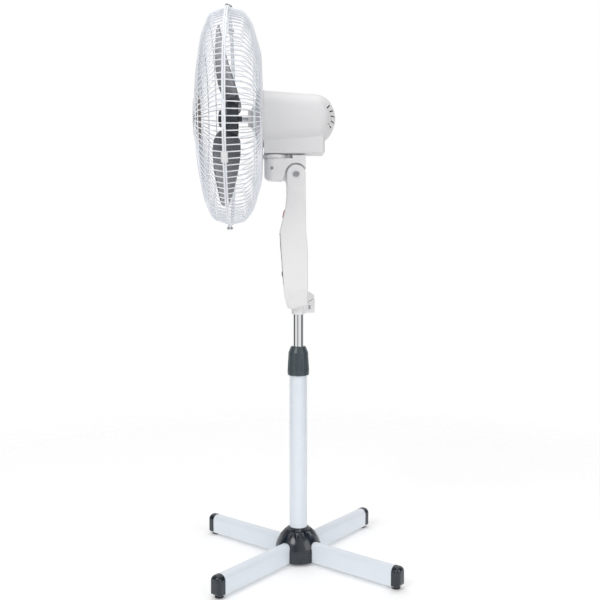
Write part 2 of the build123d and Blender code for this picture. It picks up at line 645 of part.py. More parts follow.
with BuildPart() as bracket_screws:
    for side in (-1, 1):
        with BuildSketch(across(SCREW_Y, 812, side * SCREW_IN)):
            Circle(3.4)
        extrude(amount=side * (SCREW_OUT - SCREW_IN))
        with BuildSketch(across(SCREW_Y, 812, side * (SCREW_OUT + 0.2))):
            Rectangle(4.6, 0.9)
            Rectangle(0.9, 4.6)
        extrude(amount=-side * 1.4, mode=Mode.SUBTRACT)
keep(bracket_screws, "bracket_screws")

SWING_AXIS = Axis((0, SWING_Y, 0), (0, 0, 1))
turned("swivel_bush", SWING_AXIS, across(SWING_Y, 0), [
    (PIN_R + RUN_GAP, BUSH_Z0), (BUSH_R, BUSH_Z0), (BUSH_R, BRACKET_TOP),
    (PIN_R + RUN_GAP, BRACKET_TOP),
])


# ---- swing gear pair
def gear_points(teeth, addendum, phase):
    """Corner points of an involute gear's outline about the origin, 20 degree flanks."""
    pitch_r = GEAR_MODULE * teeth / 2
    base_r = pitch_r * math.cos(math.radians(20))
    tip_r, root_r = pitch_r + addendum, pitch_r - 1.25 * GEAR_MODULE
    half_at_pitch = math.pi / (2 * teeth) - GEAR_BACKLASH / (4 * pitch_r)

    def involute(r):
        a = math.acos(min(1, base_r / r))
        return math.tan(a) - a

    flank = [root_r] + [
        max(base_r, root_r) + (tip_r - max(base_r, root_r)) * k / 4 for k in range(5)
    ]
    halves = [
        (r, half_at_pitch + involute(pitch_r) - involute(max(r, base_r))) for r in flank
    ]
    points = []
    for tooth in range(teeth):
        middle = math.radians(phase) + 2 * math.pi * tooth / teeth
        for side, stretch in ((-1, halves), (1, halves[::-1])):
            points += [
                (r * math.cos(middle + side * h), r * math.sin(middle + side * h))
                for r, h in stretch
            ]
    return points


PITCH_GEAR = GEAR_MODULE * GEAR_TEETH / 2
PITCH_PINION = GEAR_MODULE * PINION_TEETH / 2
PINION_Y = SWING_Y + PITCH_GEAR + PITCH_PINION
with BuildPart() as swing_gear:
    with BuildSketch(level(BRACKET_TOP, SWING_Y)):
        with BuildLine():
            Polyline(*gear_points(GEAR_TEETH, 0.75, 90), close=True)
        make_face()
        Circle(PIN_R + 0.4, mode=Mode.SUBTRACT)
    extrude(amount=GEAR_H)
keep(swing_gear, "swing_gear")

MOTOR_R, MOTOR_Z0, MOTOR_H = 23.5, KEEL_Z + SHELL, 15.5
MOTOR_Y = PINION_Y + 15
with BuildPart() as swing_pinion:
    with BuildSketch(level(BRACKET_TOP + 0.4, PINION_Y)):
        with BuildLine():
            Polyline(*gear_points(PINION_TEETH, 0.95, 270 + 180 / PINION_TEETH), close=True)
        make_face()
    extrude(amount=GEAR_H)
    with BuildSketch(level(BRACKET_TOP + 0.4, PINION_Y)):
        Circle(2.5)
    extrude(amount=MOTOR_Z0 + 8 - BRACKET_TOP - 0.4)
keep(swing_pinion, "swing_pinion")

with BuildPart() as swing_motor:
    with BuildSketch(level(MOTOR_Z0, MOTOR_Y)):
        Circle(MOTOR_R)
    extrude(amount=MOTOR_H)
    with BuildSketch(level(MOTOR_Z0, PINION_Y)):
        Circle(2.5 + RUN_GAP)
    extrude(amount=8.1, mode=Mode.SUBTRACT)
    chamfer(swing_motor.edges().filter_by(GeomType.CIRCLE).sort_by(Axis.Z)[-1], length=1)
keep(swing_motor, "swing_motor")

# ============================================================ head base
PAN_R, PAN_WALL, PAN_Z0, PAN_Z1 = 24.6, 2.0, BRACKET_TOP + 0.8, 839.4
PAN_FLOOR = BRACKET_TOP + GEAR_H + 1.0  # underside of the pan's plate
with BuildPart() as swivel_plate:
    with BuildSketch(level(PAN_Z0, SWING_Y)):
        Circle(PAN_R)
        with Locations((0, PINION_Y - SWING_Y)):
            Circle(PITCH_PINION + 3.6)
    extrude(amount=PAN_Z1 - PAN_Z0)
    with BuildSketch(level(PAN_Z0, SWING_Y)):
        Circle(PAN_R - PAN_WALL)
        with Locations((0, PINION_Y - SWING_Y)):
            Circle(PITCH_PINION + 1.7)
    extrude(amount=PAN_FLOOR - PAN_Z0, mode=Mode.SUBTRACT)
    with BuildSketch(level(PAN_Z1, SWING_Y)):
        Circle(11)
    extrude(amount=6.5)
    with BuildSketch(level(PAN_Z1, SWING_Y - 12)):
        Rectangle(26, 4)
    extrude(amount=40)
    with BuildSketch(level(PAN_Z0 - 1, SWING_Y)):
        Circle(PIN_R + 0.01)
    extrude(amount=30, mode=Mode.SUBTRACT)
    with BuildSketch(level(PAN_Z0 - 1, PINION_Y)):
        Circle(3.0)
    extrude(amount=12, mode=Mode.SUBTRACT)
    rim = swivel_plate.edges().filter_by(GeomType.CIRCLE).filter_by(
        lambda e: abs(e.radius - PAN_R) < 0.01 and abs(e.center().Z - PAN_Z1) < 0.01
    )
    chamfer(rim, length=1.0)
keep(swivel_plate, "swivel_plate")

turned("swivel_pin", SWING_AXIS, across(SWING_Y, 0), [
    (0, BUSH_Z0 + 1), (PIN_R - 1, BUSH_Z0 + 1), (PIN_R, BUSH_Z0 + 2), (PIN_R, PAN_Z1 + 6.5),
    (8, PAN_Z1 + 6.5), (8, PAN_Z1 + 9), (0, PAN_Z1 + 9),
])

# ============================================================ motor
BRACKET_YS = ((-57.0, -53.0), (8.0, 12.0))  # the two bearing brackets along the shaft
STATOR_Y0, STATOR_Y1, STATOR_R, AIR_R = -45.0, -5.0, 44.0, 25.3
with BuildPart() as bearing_brackets:
    for y0, y1 in BRACKET_YS:
        with BuildSketch(front_plane(y1)):
            Circle(STATOR_R)
            with PolarLocations(30, 6):
                Circle(8.5, mode=Mode.SUBTRACT)
            Circle(SHAFT_R + RUN_GAP, mode=Mode.SUBTRACT)
        extrude(amount=y1 - y0)
keep(bearing_brackets, "bearing_brackets")

with BuildPart() as stator_core:
    with BuildSketch(front_plane(STATOR_Y1)):
        Circle(STATOR_R)
        Circle(AIR_R, mode=Mode.SUBTRACT)
        with PolarLocations(32, 16):
            SlotOverall(11, 4.4, mode=Mode.SUBTRACT)
    extrude(amount=STATOR_Y1 - STATOR_Y0)
keep(stator_core, "stator_core")

with BuildPart() as stator_windings:
    for y in (STATOR_Y0 - 3.7, STATOR_Y1 + 3.7):
        with BuildSketch(FAN):
            with Locations((y, 33)):
                Circle(3.6)
        revolve(axis=FAN_AXIS)
keep(stator_windings, "stator_windings")

SHAFT_Y0, SHAFT_Y1 = -157.0, 20.0
DRIVE_Y = -115.0
with BuildPart() as motor_shaft:
    with BuildSketch(front_plane(SHAFT_Y1)):
        Circle(SHAFT_R)
    extrude(amount=SHAFT_Y1 - SHAFT_Y0)
    chamfer(motor_shaft.edges().filter_by(GeomType.CIRCLE), length=0.6)
    with BuildSketch(across(DRIVE_Y, FAN_Z)):
        Circle(1.3)
    extrude(amount=9, both=True, mode=Mode.SUBTRACT)
keep(motor_shaft, "motor_shaft")

with BuildPart() as rotor_core:
    with BuildSketch(front_plane(STATOR_Y1)):
        Circle(AIR_R - 0.4)
        Circle(SHAFT_R + 0.01, mode=Mode.SUBTRACT)
    extrude(amount=STATOR_Y1 - STATOR_Y0)
keep(rotor_core, "rotor_core")

with BuildPart() as drive_pin:
    with BuildSketch(across(DRIVE_Y, FAN_Z)):
        Circle(1.25)
    extrude(amount=5.8, both=True)
keep(drive_pin, "drive_pin")

# ---- motor covers
NECK_THREAD_R, NUT_Y0, NUT_Y1 = 13.0, -101.0, -86.6
turned("motor_front_cover", FAN_AXIS, FAN, [
    (COVER_SEAM - SPLIT_GAP, COVER_R - SHELL), (COVER_SEAM - SPLIT_GAP, COVER_R - 0.4),
    (COVER_SEAM - 0.6, COVER_R), (COVER_Y0 + 2.5, COVER_R + 0.3), (COVER_Y0 + 0.7, COVER_R - 0.6),
    (COVER_Y0, COVER_R - 2.4), (COVER_Y0, 27.5), (-82.8, 26.5), (-82.8, NECK_THREAD_R),
    (-99.0, NECK_THREAD_R), (-99.6, 12.4), (-99.6, 7.5), (COVER_Y0 + SHELL, 7.5),
    (COVER_Y0 + SHELL, COVER_R - SHELL),
])


def rear_shell(inset):
    """The rear cover's solid of revolution with its flat-sided keel, moved inwards."""
    y0 = COVER_SEAM - (1 if inset else 0)
    with BuildPart() as shell:
        with BuildSketch(FAN):
            with BuildLine():
                Polyline(
                    (COVER_Y1 - inset, 0), (y0, 0), (y0, COVER_R - 1.2 - inset), (38, 48.6 - inset)
                )
                Spline(
                    (38, 48.6 - inset), (60 - inset * 0.7, 38.5 - inset * 0.7), (COVER_Y1 - inset, 0),
                    tangents=((1, -0.12), (0, -1)),
                )
            make_face()
        revolve(axis=FAN_AXIS)
        with BuildSketch(level(KEEL_Z + inset, (y0 + KEEL_Y1 - inset) / 2)):
            Rectangle(2 * (KEEL_HALF - inset), KEEL_Y1 - inset - y0)
        extrude(amount=FAN_Z - KEEL_Z - 20)
        rear_corners = shell.edges().filter_by(Axis.Z).filter_by(lambda e: e.center().Y > 40)
        fillet(rear_corners, radius=8 - inset)
        fillet(shell.faces().filter_by(Axis.Z).sort_by(Axis.Z)[0].edges().filter_by(
            lambda e: e.center().Y > COVER_SEAM + 1
        ), radius=4.5 - inset)
    return shell.part


VENT_Y, VENT_ANGLES = 43.0, (52, 28, 4, -20, -44)
with BuildPart() as motor_rear_cover:
    add(rear_shell(0))
    add(rear_shell(SHELL), mode=Mode.SUBTRACT)
    for vent_angle in VENT_ANGLES:
        a = math.radians(vent_angle)
        vent = Plane(
            origin=(0, VENT_Y, FAN_Z), x_dir=(0, math.cos(a), math.sin(a)), z_dir=(1, 0, 0)
        )
        with BuildSketch(vent):
            with Locations((25, 0)):
                SlotOverall(10, 2.4)
        extrude(amount=60, both=True, mode=Mode.SUBTRACT)
    with BuildSketch(level(KEEL_Z - 1, SWING_Y)):
        Circle(11.3)
        with Locations((0, -12)):
            Rectangle(26.6, 4.6)
    extrude(amount=6, mode=Mode.SUBTRACT)
    with BuildSketch(level(KEEL_Z - 1, PINION_Y)):
        Circle(3.2)
    extrude(amount=6, mode=Mode.SUBTRACT)
keep(motor_rear_cover, "motor_rear_cover")

# ============================================================ guard
REAR_PATH = [(-84.6, 30), (-82.4, 52), (-72.6, 70), (-74.6, 125), (-92.5, 186), (-110, 206),
             (-135.5, GUARD_R - RIM_WIRE_R - WIRE_R - 0.03)]
REAR_BENDS = [8, 8, 60, 60, 12]
FRONT_PATH = [(-205.6, 36), (-204.6, 62), (-198.6, 112), (-187.6, 168), (-172, 202),
              (-140.3, GUARD_R - RIM_WIRE_R - WIRE_R - 0.03)]
FRONT_BENDS = [80, 120, 60, 16]


def guard_wires(path, bends):
    """One radial wire bent along (Y, radius) points, repeated all round the shaft."""
    with BuildPart() as one:
        with BuildLine(FAN) as route:
            FilletPolyline(*path, radius=bends)
        with BuildSketch(Plane(origin=route.line @ 0, z_dir=route.line % 0)):
            Circle(WIRE_R)
        sweep()
    copies = [one.part.rotate(FAN_AXIS, k * 360 / WIRES) for k in range(WIRES)]
    return Compound(children=copies)


def ring_at(path, radius, side):
    """The (Y, radius) centre of a ring that lies against a wire, on the side of -1 front or 1."""
    for (y0, r0), (y1, r1) in zip(path, path[1:]):
        if r0 <= radius <= r1:
            across_wire = Vector(r1 - r0, y0 - y1).normalized() * (2 * WIRE_R + 0.12)
            y = y0 + (y1 - y0) * (radius - r0) / (r1 - r0)
            return (y + side * across_wire.X, radius + side * across_wire.Y)
    raise ValueError("no wire at that radius")


def guard_rings(name, spots, rim_y):
    """Support rings and the thicker rim, all round the shaft."""
    with BuildPart() as rings:
        for y, r in spots:
            with BuildSketch(FAN):
                with Locations((y, r)):
                    Circle(WIRE_R)
            revolve(axis=FAN_AXIS)
        with BuildSketch(FAN):
            with Locations((rim_y, GUARD_R)):
                Circle(RIM_WIRE_R)
        revolve(axis=FAN_AXIS)
    keep(rings, name)


for wires_name, wire_path, wire_bends in (
    ("rear_guard_wires", REAR_PATH, REAR_BENDS),
    ("front_guard_wires", FRONT_PATH, FRONT_BENDS),
):
    wires = guard_wires(wire_path, wire_bends)
    wires.label = wires_name
    export_step(wires, f"parts/{wires_name}.step")
guard_rings("rear_guard_rings", [ring_at(REAR_PATH, r, -1) for r in (38, 98, 158)], REAR_RIM_Y)
guard_rings("front_guard_rings", [ring_at(FRONT_PATH, r, 1) for r in (42, 88, 140, 186)],
            FRONT_RIM_Y)

with BuildPart() as guard_nut:
    with BuildSketch(FAN):
        with BuildLine():
            Polyline(
                (NUT_Y0, NECK_THREAD_R + 0.08), (NUT_Y0, 16), (NUT_Y0 + 1, 17), (NUT_Y0 + 6, 17),
                (NUT_Y0 + 7, 20), (-90, 27), (NUT_Y1, 27), (NUT_Y1, NECK_THREAD_R + 0.08),
                close=True,
            )
        make_face()
    revolve(axis=FAN_AXIS)
    with BuildSketch(front_plane(NUT_Y0 + 6)):
        with PolarLocations(17.4, 18):
            Circle(1.3)
    extrude(amount=10, mode=Mode.SUBTRACT)
keep(guard_nut, "guard_nut")

BADGE_R = 46.5
with BuildPart() as badge_front:
    with BuildSketch(FAN):
        with BuildLine():
            Polyline(
                (-209.4, 0), (-206.8, 0), (-206.8, BADGE_R))
            ThreePointArc((-206.8, BADGE_R), (-208.9, BADGE_R - 3.5), (-209.2, BADGE_R - 10))
            Line((-209.2, BADGE_R - 10), (-209.4, 0))
        make_face()
    revolve(axis=FAN_AXIS)
keep(badge_front, "badge_front")
turned("badge_back", FAN_AXIS, FAN, [
    (-206.7, 0), (-206.7, 9), (-202, 9), (-202, 38), (-202.0, BADGE_R - 3), (-200.5, BADGE_R - 1),
    (-199.6, BADGE_R - 3), (-199.6, 0),
])


def rim_block(degrees, width, outline):
    """A block bent round the rim: a closed (Y, radius) outline turned through an arc."""
    sweep_angle = math.degrees(width / GUARD_R)
    middle = degrees - 90 - sweep_angle / 2
    with BuildPart() as block:
        with BuildSketch(FAN):
            with BuildLine():
                Polyline(*outline, close=True)
            make_face()
            with Locations((REAR_RIM_Y, GUARD_R), (FRONT_RIM_Y, GUARD_R)):
                Circle(RIM_WIRE_R + 0.05, mode=Mode.SUBTRACT)
        revolve(axis=FAN_AXIS, revolution_arc=sweep_angle)
    return block.part.rotate(FAN_AXIS, -middle)


CLIP_FOOT, CLIP_TOP = GUARD_R - RIM_WIRE_R + 0.05, GUARD_R + RIM_WIRE_R + 2.2
CLIP = [(REAR_RIM_Y + 4.2, CLIP_FOOT), (REAR_RIM_Y + 4.2, CLIP_TOP - 1.6),
        (REAR_RIM_Y + 2.6, CLIP_TOP), (FRONT_RIM_Y - 2.6, CLIP_TOP),
        (FRONT_RIM_Y - 4.2, CLIP_TOP - 1.6), (FRONT_RIM_Y - 4.2, CLIP_FOOT)]
CLIP_SPOTS = ((-21.0, 20.0), (118.0, 13.0), (199.0, 13.0))  # angle from +X, width
guard_clips = Compound(children=[rim_block(a, w, CLIP) for a, w in CLIP_SPOTS])
guard_clips.label = "guard_clips"
export_step(guard_clips, "parts/guard_clips.step")

HOOK = [(REAR_RIM_Y + 5, CLIP_FOOT), (REAR_RIM_Y + 5, 219), (REAR_RIM_Y, 222.5),
        (FRONT_RIM_Y - 3, 224), (FRONT_RIM_Y - 5, 222), (FRONT_RIM_Y - 4.4, CLIP_FOOT)]
guard_hook = rim_block(90.0, 9.0, HOOK)
guard_hook.label = "guard_hook"
export_step(guard_hook, "parts/guard_hook.step")

LUG_SCREW_R, LUG_H, LUG_T = 1.8, 7.4, 1.6
LUG_R = GUARD_R + RIM_WIRE_R + LUG_H / 2 + 0.03
with BuildPart() as rim_lugs:
    for y in (REAR_RIM_Y + 0.9, FRONT_RIM_Y - 0.9):
        with BuildSketch(front_plane(y + LUG_T / 2)):
            with Locations((0, -LUG_R)):
                SlotOverall(14, LUG_H)
                Circle(LUG_SCREW_R + 0.1, mode=Mode.SUBTRACT)
        extrude(amount=LUG_T)
keep(rim_lugs, "rim_lugs")
head_seat = FRONT_RIM_Y - 0.9 - LUG_T / 2 - 0.03
turned("rim_screw", Axis((0, 0, FAN_Z - LUG_R), (0, 1, 0)), across(0, FAN_Z - LUG_R), [
    (head_seat - 2.4, 0), (head_seat - 2.4, 1.6), (head_seat - 1.6, 3.0), (head_seat, 3.0),
    (head_seat, LUG_SCREW_R), (REAR_RIM_Y + 3.4, LUG_SCREW_R), (REAR_RIM_Y + 4, 1.2),
    (REAR_RIM_Y + 4, 0),
])

# ============================================================ blades
HUB_Y0, HUB_Y1, HUB_WALL_T, BOSS_R = -146.0, -122.0, 2.4, 6.2
# radius, chord, pitch in degrees, sideways shift and Y of the section's middle
BLADE_SECTIONS = [
    (37.0, 50.0, 42.0, 3.0, -134.5), (62.0, 84.0, 31.5, 5.0, -139.5), (100.0, 116.0, 21.0, 8.0, -145.5),
    (140.0, 126.0, 13.5, 11.0, -149.5), (172.0, 98.0, 9.5, 13.0, -151.5),
    (BLADE_R - 2.5, 50.0, 8.0, 15.0, -152.0),
]
BLADE_T = 2.4
with BuildPart() as one_blade:
    for r, chord, pitch, shift, y in BLADE_SECTIONS:
        a = math.radians(pitch)
        chord_dir = (math.cos(a), math.sin(a), 0)
        with BuildSketch(Plane(origin=(shift, y, FAN_Z + r), x_dir=chord_dir, z_dir=(0, 0, 1))):
            RectangleRounded(chord, BLADE_T, BLADE_T / 2 - 0.01)
    loft()

with BuildPart() as fan_blade:
    with BuildSketch(FAN):
        with BuildLine():
            Polyline(
                (HUB_Y0, SHAFT_R + 0.03), (HUB_Y0, BLADE_HUB_R - 5), (HUB_Y0 + 1.5, BLADE_HUB_R - 1.5),
                (HUB_Y0 + 5, BLADE_HUB_R), (HUB_Y1, BLADE_HUB_R), (HUB_Y1, BLADE_HUB_R - HUB_WALL_T),
                (HUB_Y0 + 5.2, BLADE_HUB_R - HUB_WALL_T - 0.2), (HUB_Y0 + HUB_WALL_T, BLADE_HUB_R - 5),
                (HUB_Y0 + HUB_WALL_T, BOSS_R + 3), (HUB_Y1, BOSS_R + 2), (HUB_Y1 + 2, BOSS_R),
                (DRIVE_Y + 1.5, BOSS_R), (DRIVE_Y + 1.5, SHAFT_R + 0.03), close=True,
            )
        make_face()
    revolve(axis=FAN_AXIS)
    for k in range(BLADES):
        add(one_blade.part.rotate(FAN_AXIS, BLADE_PHASE + k * 360 / BLADES))
    with BuildSketch(FAN):
        with BuildLine():
            Polyline(
                (HUB_Y0 + HUB_WALL_T, BLADE_HUB_R - HUB_WALL_T - 4), (HUB_Y1 + 20, BLADE_HUB_R - 7),
                (HUB_Y1 + 20, BOSS_R + 3), (HUB_Y0 + HUB_WALL_T, BOSS_R + 3), close=True,
            )
        make_face()
    revolve(axis=FAN_AXIS, mode=Mode.SUBTRACT)
    with BuildSketch(Plane(origin=(0, DRIVE_Y + 2, FAN_Z), x_dir=(1, 0, 0), z_dir=(0, -1, 0))):
        Rectangle(14, 2.8)
    extrude(amount=3.6, mode=Mode.SUBTRACT)
keep(fan_blade, "fan_blade")

with BuildPart() as blade_nut:
    with BuildSketch(FAN):
        with BuildLine():
            Polyline(
                (-153, SHAFT_R + 0.03), (-153, 15.5), (-154, 17), (-157.5, 17), (-159.5, 15.5),
            )
            middle = dome_middle(0, 15.5, 2.8)
            ThreePointArc((-159.5, 15.5), (-162.3 - middle[0], middle[1]), (-162.3, 0))
            Polyline((-162.3, 0), (-157.2, 0), (-157.2, SHAFT_R + 0.03), (-153, SHAFT_R + 0.03))
        make_face()
    revolve(axis=FAN_AXIS)
    with BuildSketch(front_plane(-152)):
        with PolarLocations(17.3, 16):
            Circle(1.2)
    extrude(amount=12, mode=Mode.SUBTRACT)
keep(blade_nut, "blade_nut")
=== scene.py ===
import json
import math

import bmesh
import bpy
import numpy as np
from mathutils import Matrix, Vector


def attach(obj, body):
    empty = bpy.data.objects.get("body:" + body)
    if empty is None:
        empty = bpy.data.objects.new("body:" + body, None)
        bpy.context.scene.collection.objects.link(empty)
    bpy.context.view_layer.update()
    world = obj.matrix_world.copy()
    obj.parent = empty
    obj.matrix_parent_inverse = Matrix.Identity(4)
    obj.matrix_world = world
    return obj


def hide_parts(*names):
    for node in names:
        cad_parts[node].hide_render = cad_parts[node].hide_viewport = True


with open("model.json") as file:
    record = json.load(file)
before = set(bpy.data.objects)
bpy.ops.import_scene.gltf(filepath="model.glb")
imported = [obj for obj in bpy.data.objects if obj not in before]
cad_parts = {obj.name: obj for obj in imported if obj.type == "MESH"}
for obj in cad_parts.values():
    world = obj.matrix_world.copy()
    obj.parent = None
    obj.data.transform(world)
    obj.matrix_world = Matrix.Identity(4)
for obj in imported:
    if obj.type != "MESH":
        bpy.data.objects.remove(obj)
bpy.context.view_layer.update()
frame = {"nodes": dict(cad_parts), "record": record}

# Lengths below are millimetres in the CAD frame: pole axis at X = Y = 0, floor at Z = 0, front towards -Y.
MM = 0.001
FAN_Z = 912.0  # height of the motor shaft, which runs along Y
SWING_Y = -47.0  # the swivel pin
ARC_STEP = math.radians(7)  # turn between two points of a rounded corner


# ------------------------------------------------------------------ mesh helpers
def rounded(points, radii, closed=True):
    """A flat outline with each corner rounded to its own radius."""
    out = []
    count = len(points)
    for k, corner in enumerate(points):
        radius = radii[k]
        if radius <= 0 or (not closed and k in (0, count - 1)):
            out.append(tuple(corner))
            continue
        here = Vector(corner)
        back = (Vector(points[k - 1]) - here).normalized()
        ahead = (Vector(points[(k + 1) % count]) - here).normalized()
        turn = math.pi - back.angle(ahead)
        if turn < 1e-3:
            out.append(tuple(corner))
            continue
        reach = radius * math.tan(turn / 2)
        centre = here + (back + ahead).normalized() * (radius / math.cos(turn / 2))
        start = here + back * reach - centre
        side = 1 if back.x * ahead.y - back.y * ahead.x < 0 else -1
        steps = max(2, math.ceil(turn / ARC_STEP))
        for s in range(steps + 1):
            a = side * turn * s / steps
            x = start.x * math.cos(a) - start.y * math.sin(a)
            y = start.x * math.sin(a) + start.y * math.cos(a)
            out.append((centre.x + x, centre.y + y))
    return out


def strip_faces(rows, columns, close_rows=False):
    """Quads joining closed rows of points, numbered row by row."""
    faces = []
    for i in range(rows if close_rows else rows - 1):
        for j in range(columns):
            ni, nj = (i + 1) % rows, (j + 1) % columns
            faces.append((i * columns + j, i * columns + nj, ni * columns + nj, ni * columns + j))
    return faces


def mesh_from(name, points, faces):
    """A mesh from points in millimetres, with its faces turned outwards."""
    mesh = bpy.data.meshes.new(name)
    mesh.from_pydata([tuple(c * MM for c in p) for p in points], [], faces)
    bm = bmesh.new()
    bm.from_mesh(mesh)
    bmesh.ops.remove_doubles(bm, verts=bm.verts, dist=1e-7)
    bmesh.ops.recalc_face_normals(bm, faces=bm.faces)
    bm.to_mesh(mesh)
    bm.free()
    return mesh


def on_shaft(along, radius, angle):
    """A point about the motor shaft."""
    return (radius * math.cos(angle), along, FAN_Z + radius * math.sin(angle))


def on_pole(along, radius, angle):
    """A point about the pole."""
    return (radius * math.cos(angle), radius * math.sin(angle), along)


def lathe(name, profile, place, steps=128, shape=None):
    """A closed (along, radius) profile turned about an axis, with the radius changed by shape."""
    points = []
    for along, radius in profile:
        for s in range(steps):
            a = 2 * math.pi * s / steps
            points.append(place(along, shape(along, radius, a) if shape else radius, a))
    return mesh_from(name, points, strip_faces(len(profile), steps, close_rows=True))


def upright(u, v, h):
    """A level outline (X, Y) carried upwards."""
    return (u, v, h)


def prism(name, outline, place, low, high):
    """A flat outline carried from low to high; place maps (u, v, height) to a point."""
    count = len(outline)
    points = [place(u, v, h) for h in (low, high) for u, v in outline]
    sides = strip_faces(2, count)
    caps = [tuple(range(count)), tuple(range(count, 2 * count))]
    return mesh_from(name, points, sides + caps)


def loft(name, sections):
    """Closed sections of equal length joined one after another, with both ends capped."""
    count = len(sections[0])
    points = [p for section in sections for p in section]
    ends = [tuple(range(count)), tuple(range(len(points) - count, len(points)))]
    return mesh_from(name, points, strip_faces(len(sections), count) + ends)


def cubic_weights(t):
    """Weights of start, start tangent, end and end tangent on a cubic curve."""
    return (2 * t**3 - 3 * t**2 + 1, t**3 - 2 * t**2 + t, -2 * t**3 + 3 * t**2, t**3 - t**2)


def circle(radius, sides, centre=(0.0, 0.0)):
    """Points of a circle."""
    return [
        (
            centre[0] + radius * math.cos(2 * math.pi * s / sides),
            centre[1] + radius * math.sin(2 * math.pi * s / sides),
        )
        for s in range(sides)
    ]


def joined(name, meshes):
    """Several meshes as one."""
    bm = bmesh.new()
    for mesh in meshes:
        bm.from_mesh(mesh)
    out = bpy.data.meshes.new(name)
    bm.to_mesh(out)
    bm.free()
    return out


def boolean(mesh, cutter, operation):
    """mesh combined with cutter by an exact boolean, as a new mesh."""
    base = bpy.data.objects.new("boolean_base", mesh)
    tool = bpy.data.objects.new("boolean_tool", cutter)
    for o in (base, tool):
        bpy.context.scene.collection.objects.link(o)
    modifier = base.modifiers.new("cut", "BOOLEAN")
    modifier.operation = operation
    modifier.solver = "EXACT"
    modifier.object = tool
    bpy.context.view_layer.update()
    evaluated = base.evaluated_get(bpy.context.evaluated_depsgraph_get())
    result = bpy.data.meshes.new_from_object(evaluated)
    for o in (base, tool):
        bpy.data.objects.remove(o)
    return result


def add_piece(name, mesh, body, slot_name, nodes=(), crease=32, look=None):
    """Shows a mesh as a piece that rides on a CAD body and stands for CAD nodes."""
    mesh.name = name
    piece = bpy.data.objects.new(name, mesh)
    bpy.context.scene.collection.objects.link(piece)
    for polygon in mesh.polygons:
        polygon.use_smooth = True
    mesh.set_sharp_from_angle(angle=math.radians(crease))
    mesh.materials.clear()
    mesh.materials.append(LOOKS[look or slot_name])
    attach(piece, body)
    if nodes:
        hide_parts(*nodes)
    return piece


# ------------------------------------------------------------------ materials
RELIEF_DEPTH = 0.0004  # metres


def new_material(name):
    """An empty material with its Principled shader."""
    made = bpy.data.materials.new(name)
    made.use_nodes = True
    return made, made.node_tree.nodes, made.node_tree.links, made.node_tree.nodes["Principled BSDF"]


def noise(nodes, links, scale, detail=3.0, stretch=(1, 1, 1)):
    """A noise texture in the object's own metres."""
    place = nodes.new("ShaderNodeTexCoord")
    mapping = nodes.new("ShaderNodeMapping")
    mapping.inputs["Scale"].default_value = stretch
    texture = nodes.new("ShaderNodeTexNoise")
    texture.inputs["Scale"].default_value = scale
    texture.inputs["Detail"].default_value = detail
    links.new(place.outputs["Object"], mapping.inputs["Vector"])
    links.new(mapping.outputs["Vector"], texture.inputs["Vector"])
    return texture.outputs["Fac"]


def ranged(nodes, links, source, low, high, start=0.3, end=0.7):
    """source stretched from start..end to low..high."""
    node = nodes.new("ShaderNodeMapRange")
    node.inputs["From Min"].default_value = start
    node.inputs["From Max"].default_value = end
    node.inputs["To Min"].default_value = low
    node.inputs["To Max"].default_value = high
    links.new(source, node.inputs["Value"])
    return node.outputs["Result"]


def surface(
    name, colour, rough, metallic=0.0, vary=0.05, grain=1500, bump=0.04, smear=0.04, coat=0.0,
    stretch=(1, 1, 1), alpha=1.0, dust=0.0,
):
    """A moulded, painted or metal finish: drifting tone, uneven gloss and a fine grain."""
    made, nodes, links, shader = new_material(name)
    shader.inputs["Metallic"].default_value = metallic
    shader.inputs["Coat Weight"].default_value = coat
    shader.inputs["Coat Roughness"].default_value = 0.06
    shader.inputs["Alpha"].default_value = alpha
    mix = nodes.new("ShaderNodeMix")
    mix.data_type = "RGBA"
    mix.inputs["A"].default_value = (*[c * (1 - vary) for c in colour], 1)
    mix.inputs["B"].default_value = (*[min(1, c * (1 + vary)) for c in colour], 1)
    links.new(ranged(nodes, links, noise(nodes, links, 14), 0, 1), mix.inputs["Factor"])
    tone = mix.outputs["Result"]
    if dust:
        speck = nodes.new("ShaderNodeMix")
        speck.data_type = "RGBA"
        speck.inputs["B"].default_value = (0.55, 0.54, 0.52, 1)
        links.new(tone, speck.inputs["A"])
        spots = ranged(nodes, links, noise(nodes, links, 420, 6), 0, dust, 0.62, 0.75)
        links.new(spots, speck.inputs["Factor"])
        tone = speck.outputs["Result"]
    links.new(tone, shader.inputs["Base Color"])
    streaks = noise(nodes, links, 60, 5, stretch)
    gloss = ranged(nodes, links, streaks, max(0.02, rough - smear), rough + smear)
    links.new(gloss, shader.inputs["Roughness"])
    relief = nodes.new("ShaderNodeBump")
    relief.inputs["Strength"].default_value = bump
    relief.inputs["Distance"].default_value = RELIEF_DEPTH
    links.new(noise(nodes, links, grain, 2, stretch), relief.inputs["Height"])
    links.new(relief.outputs["Normal"], shader.inputs["Normal"])
    return made


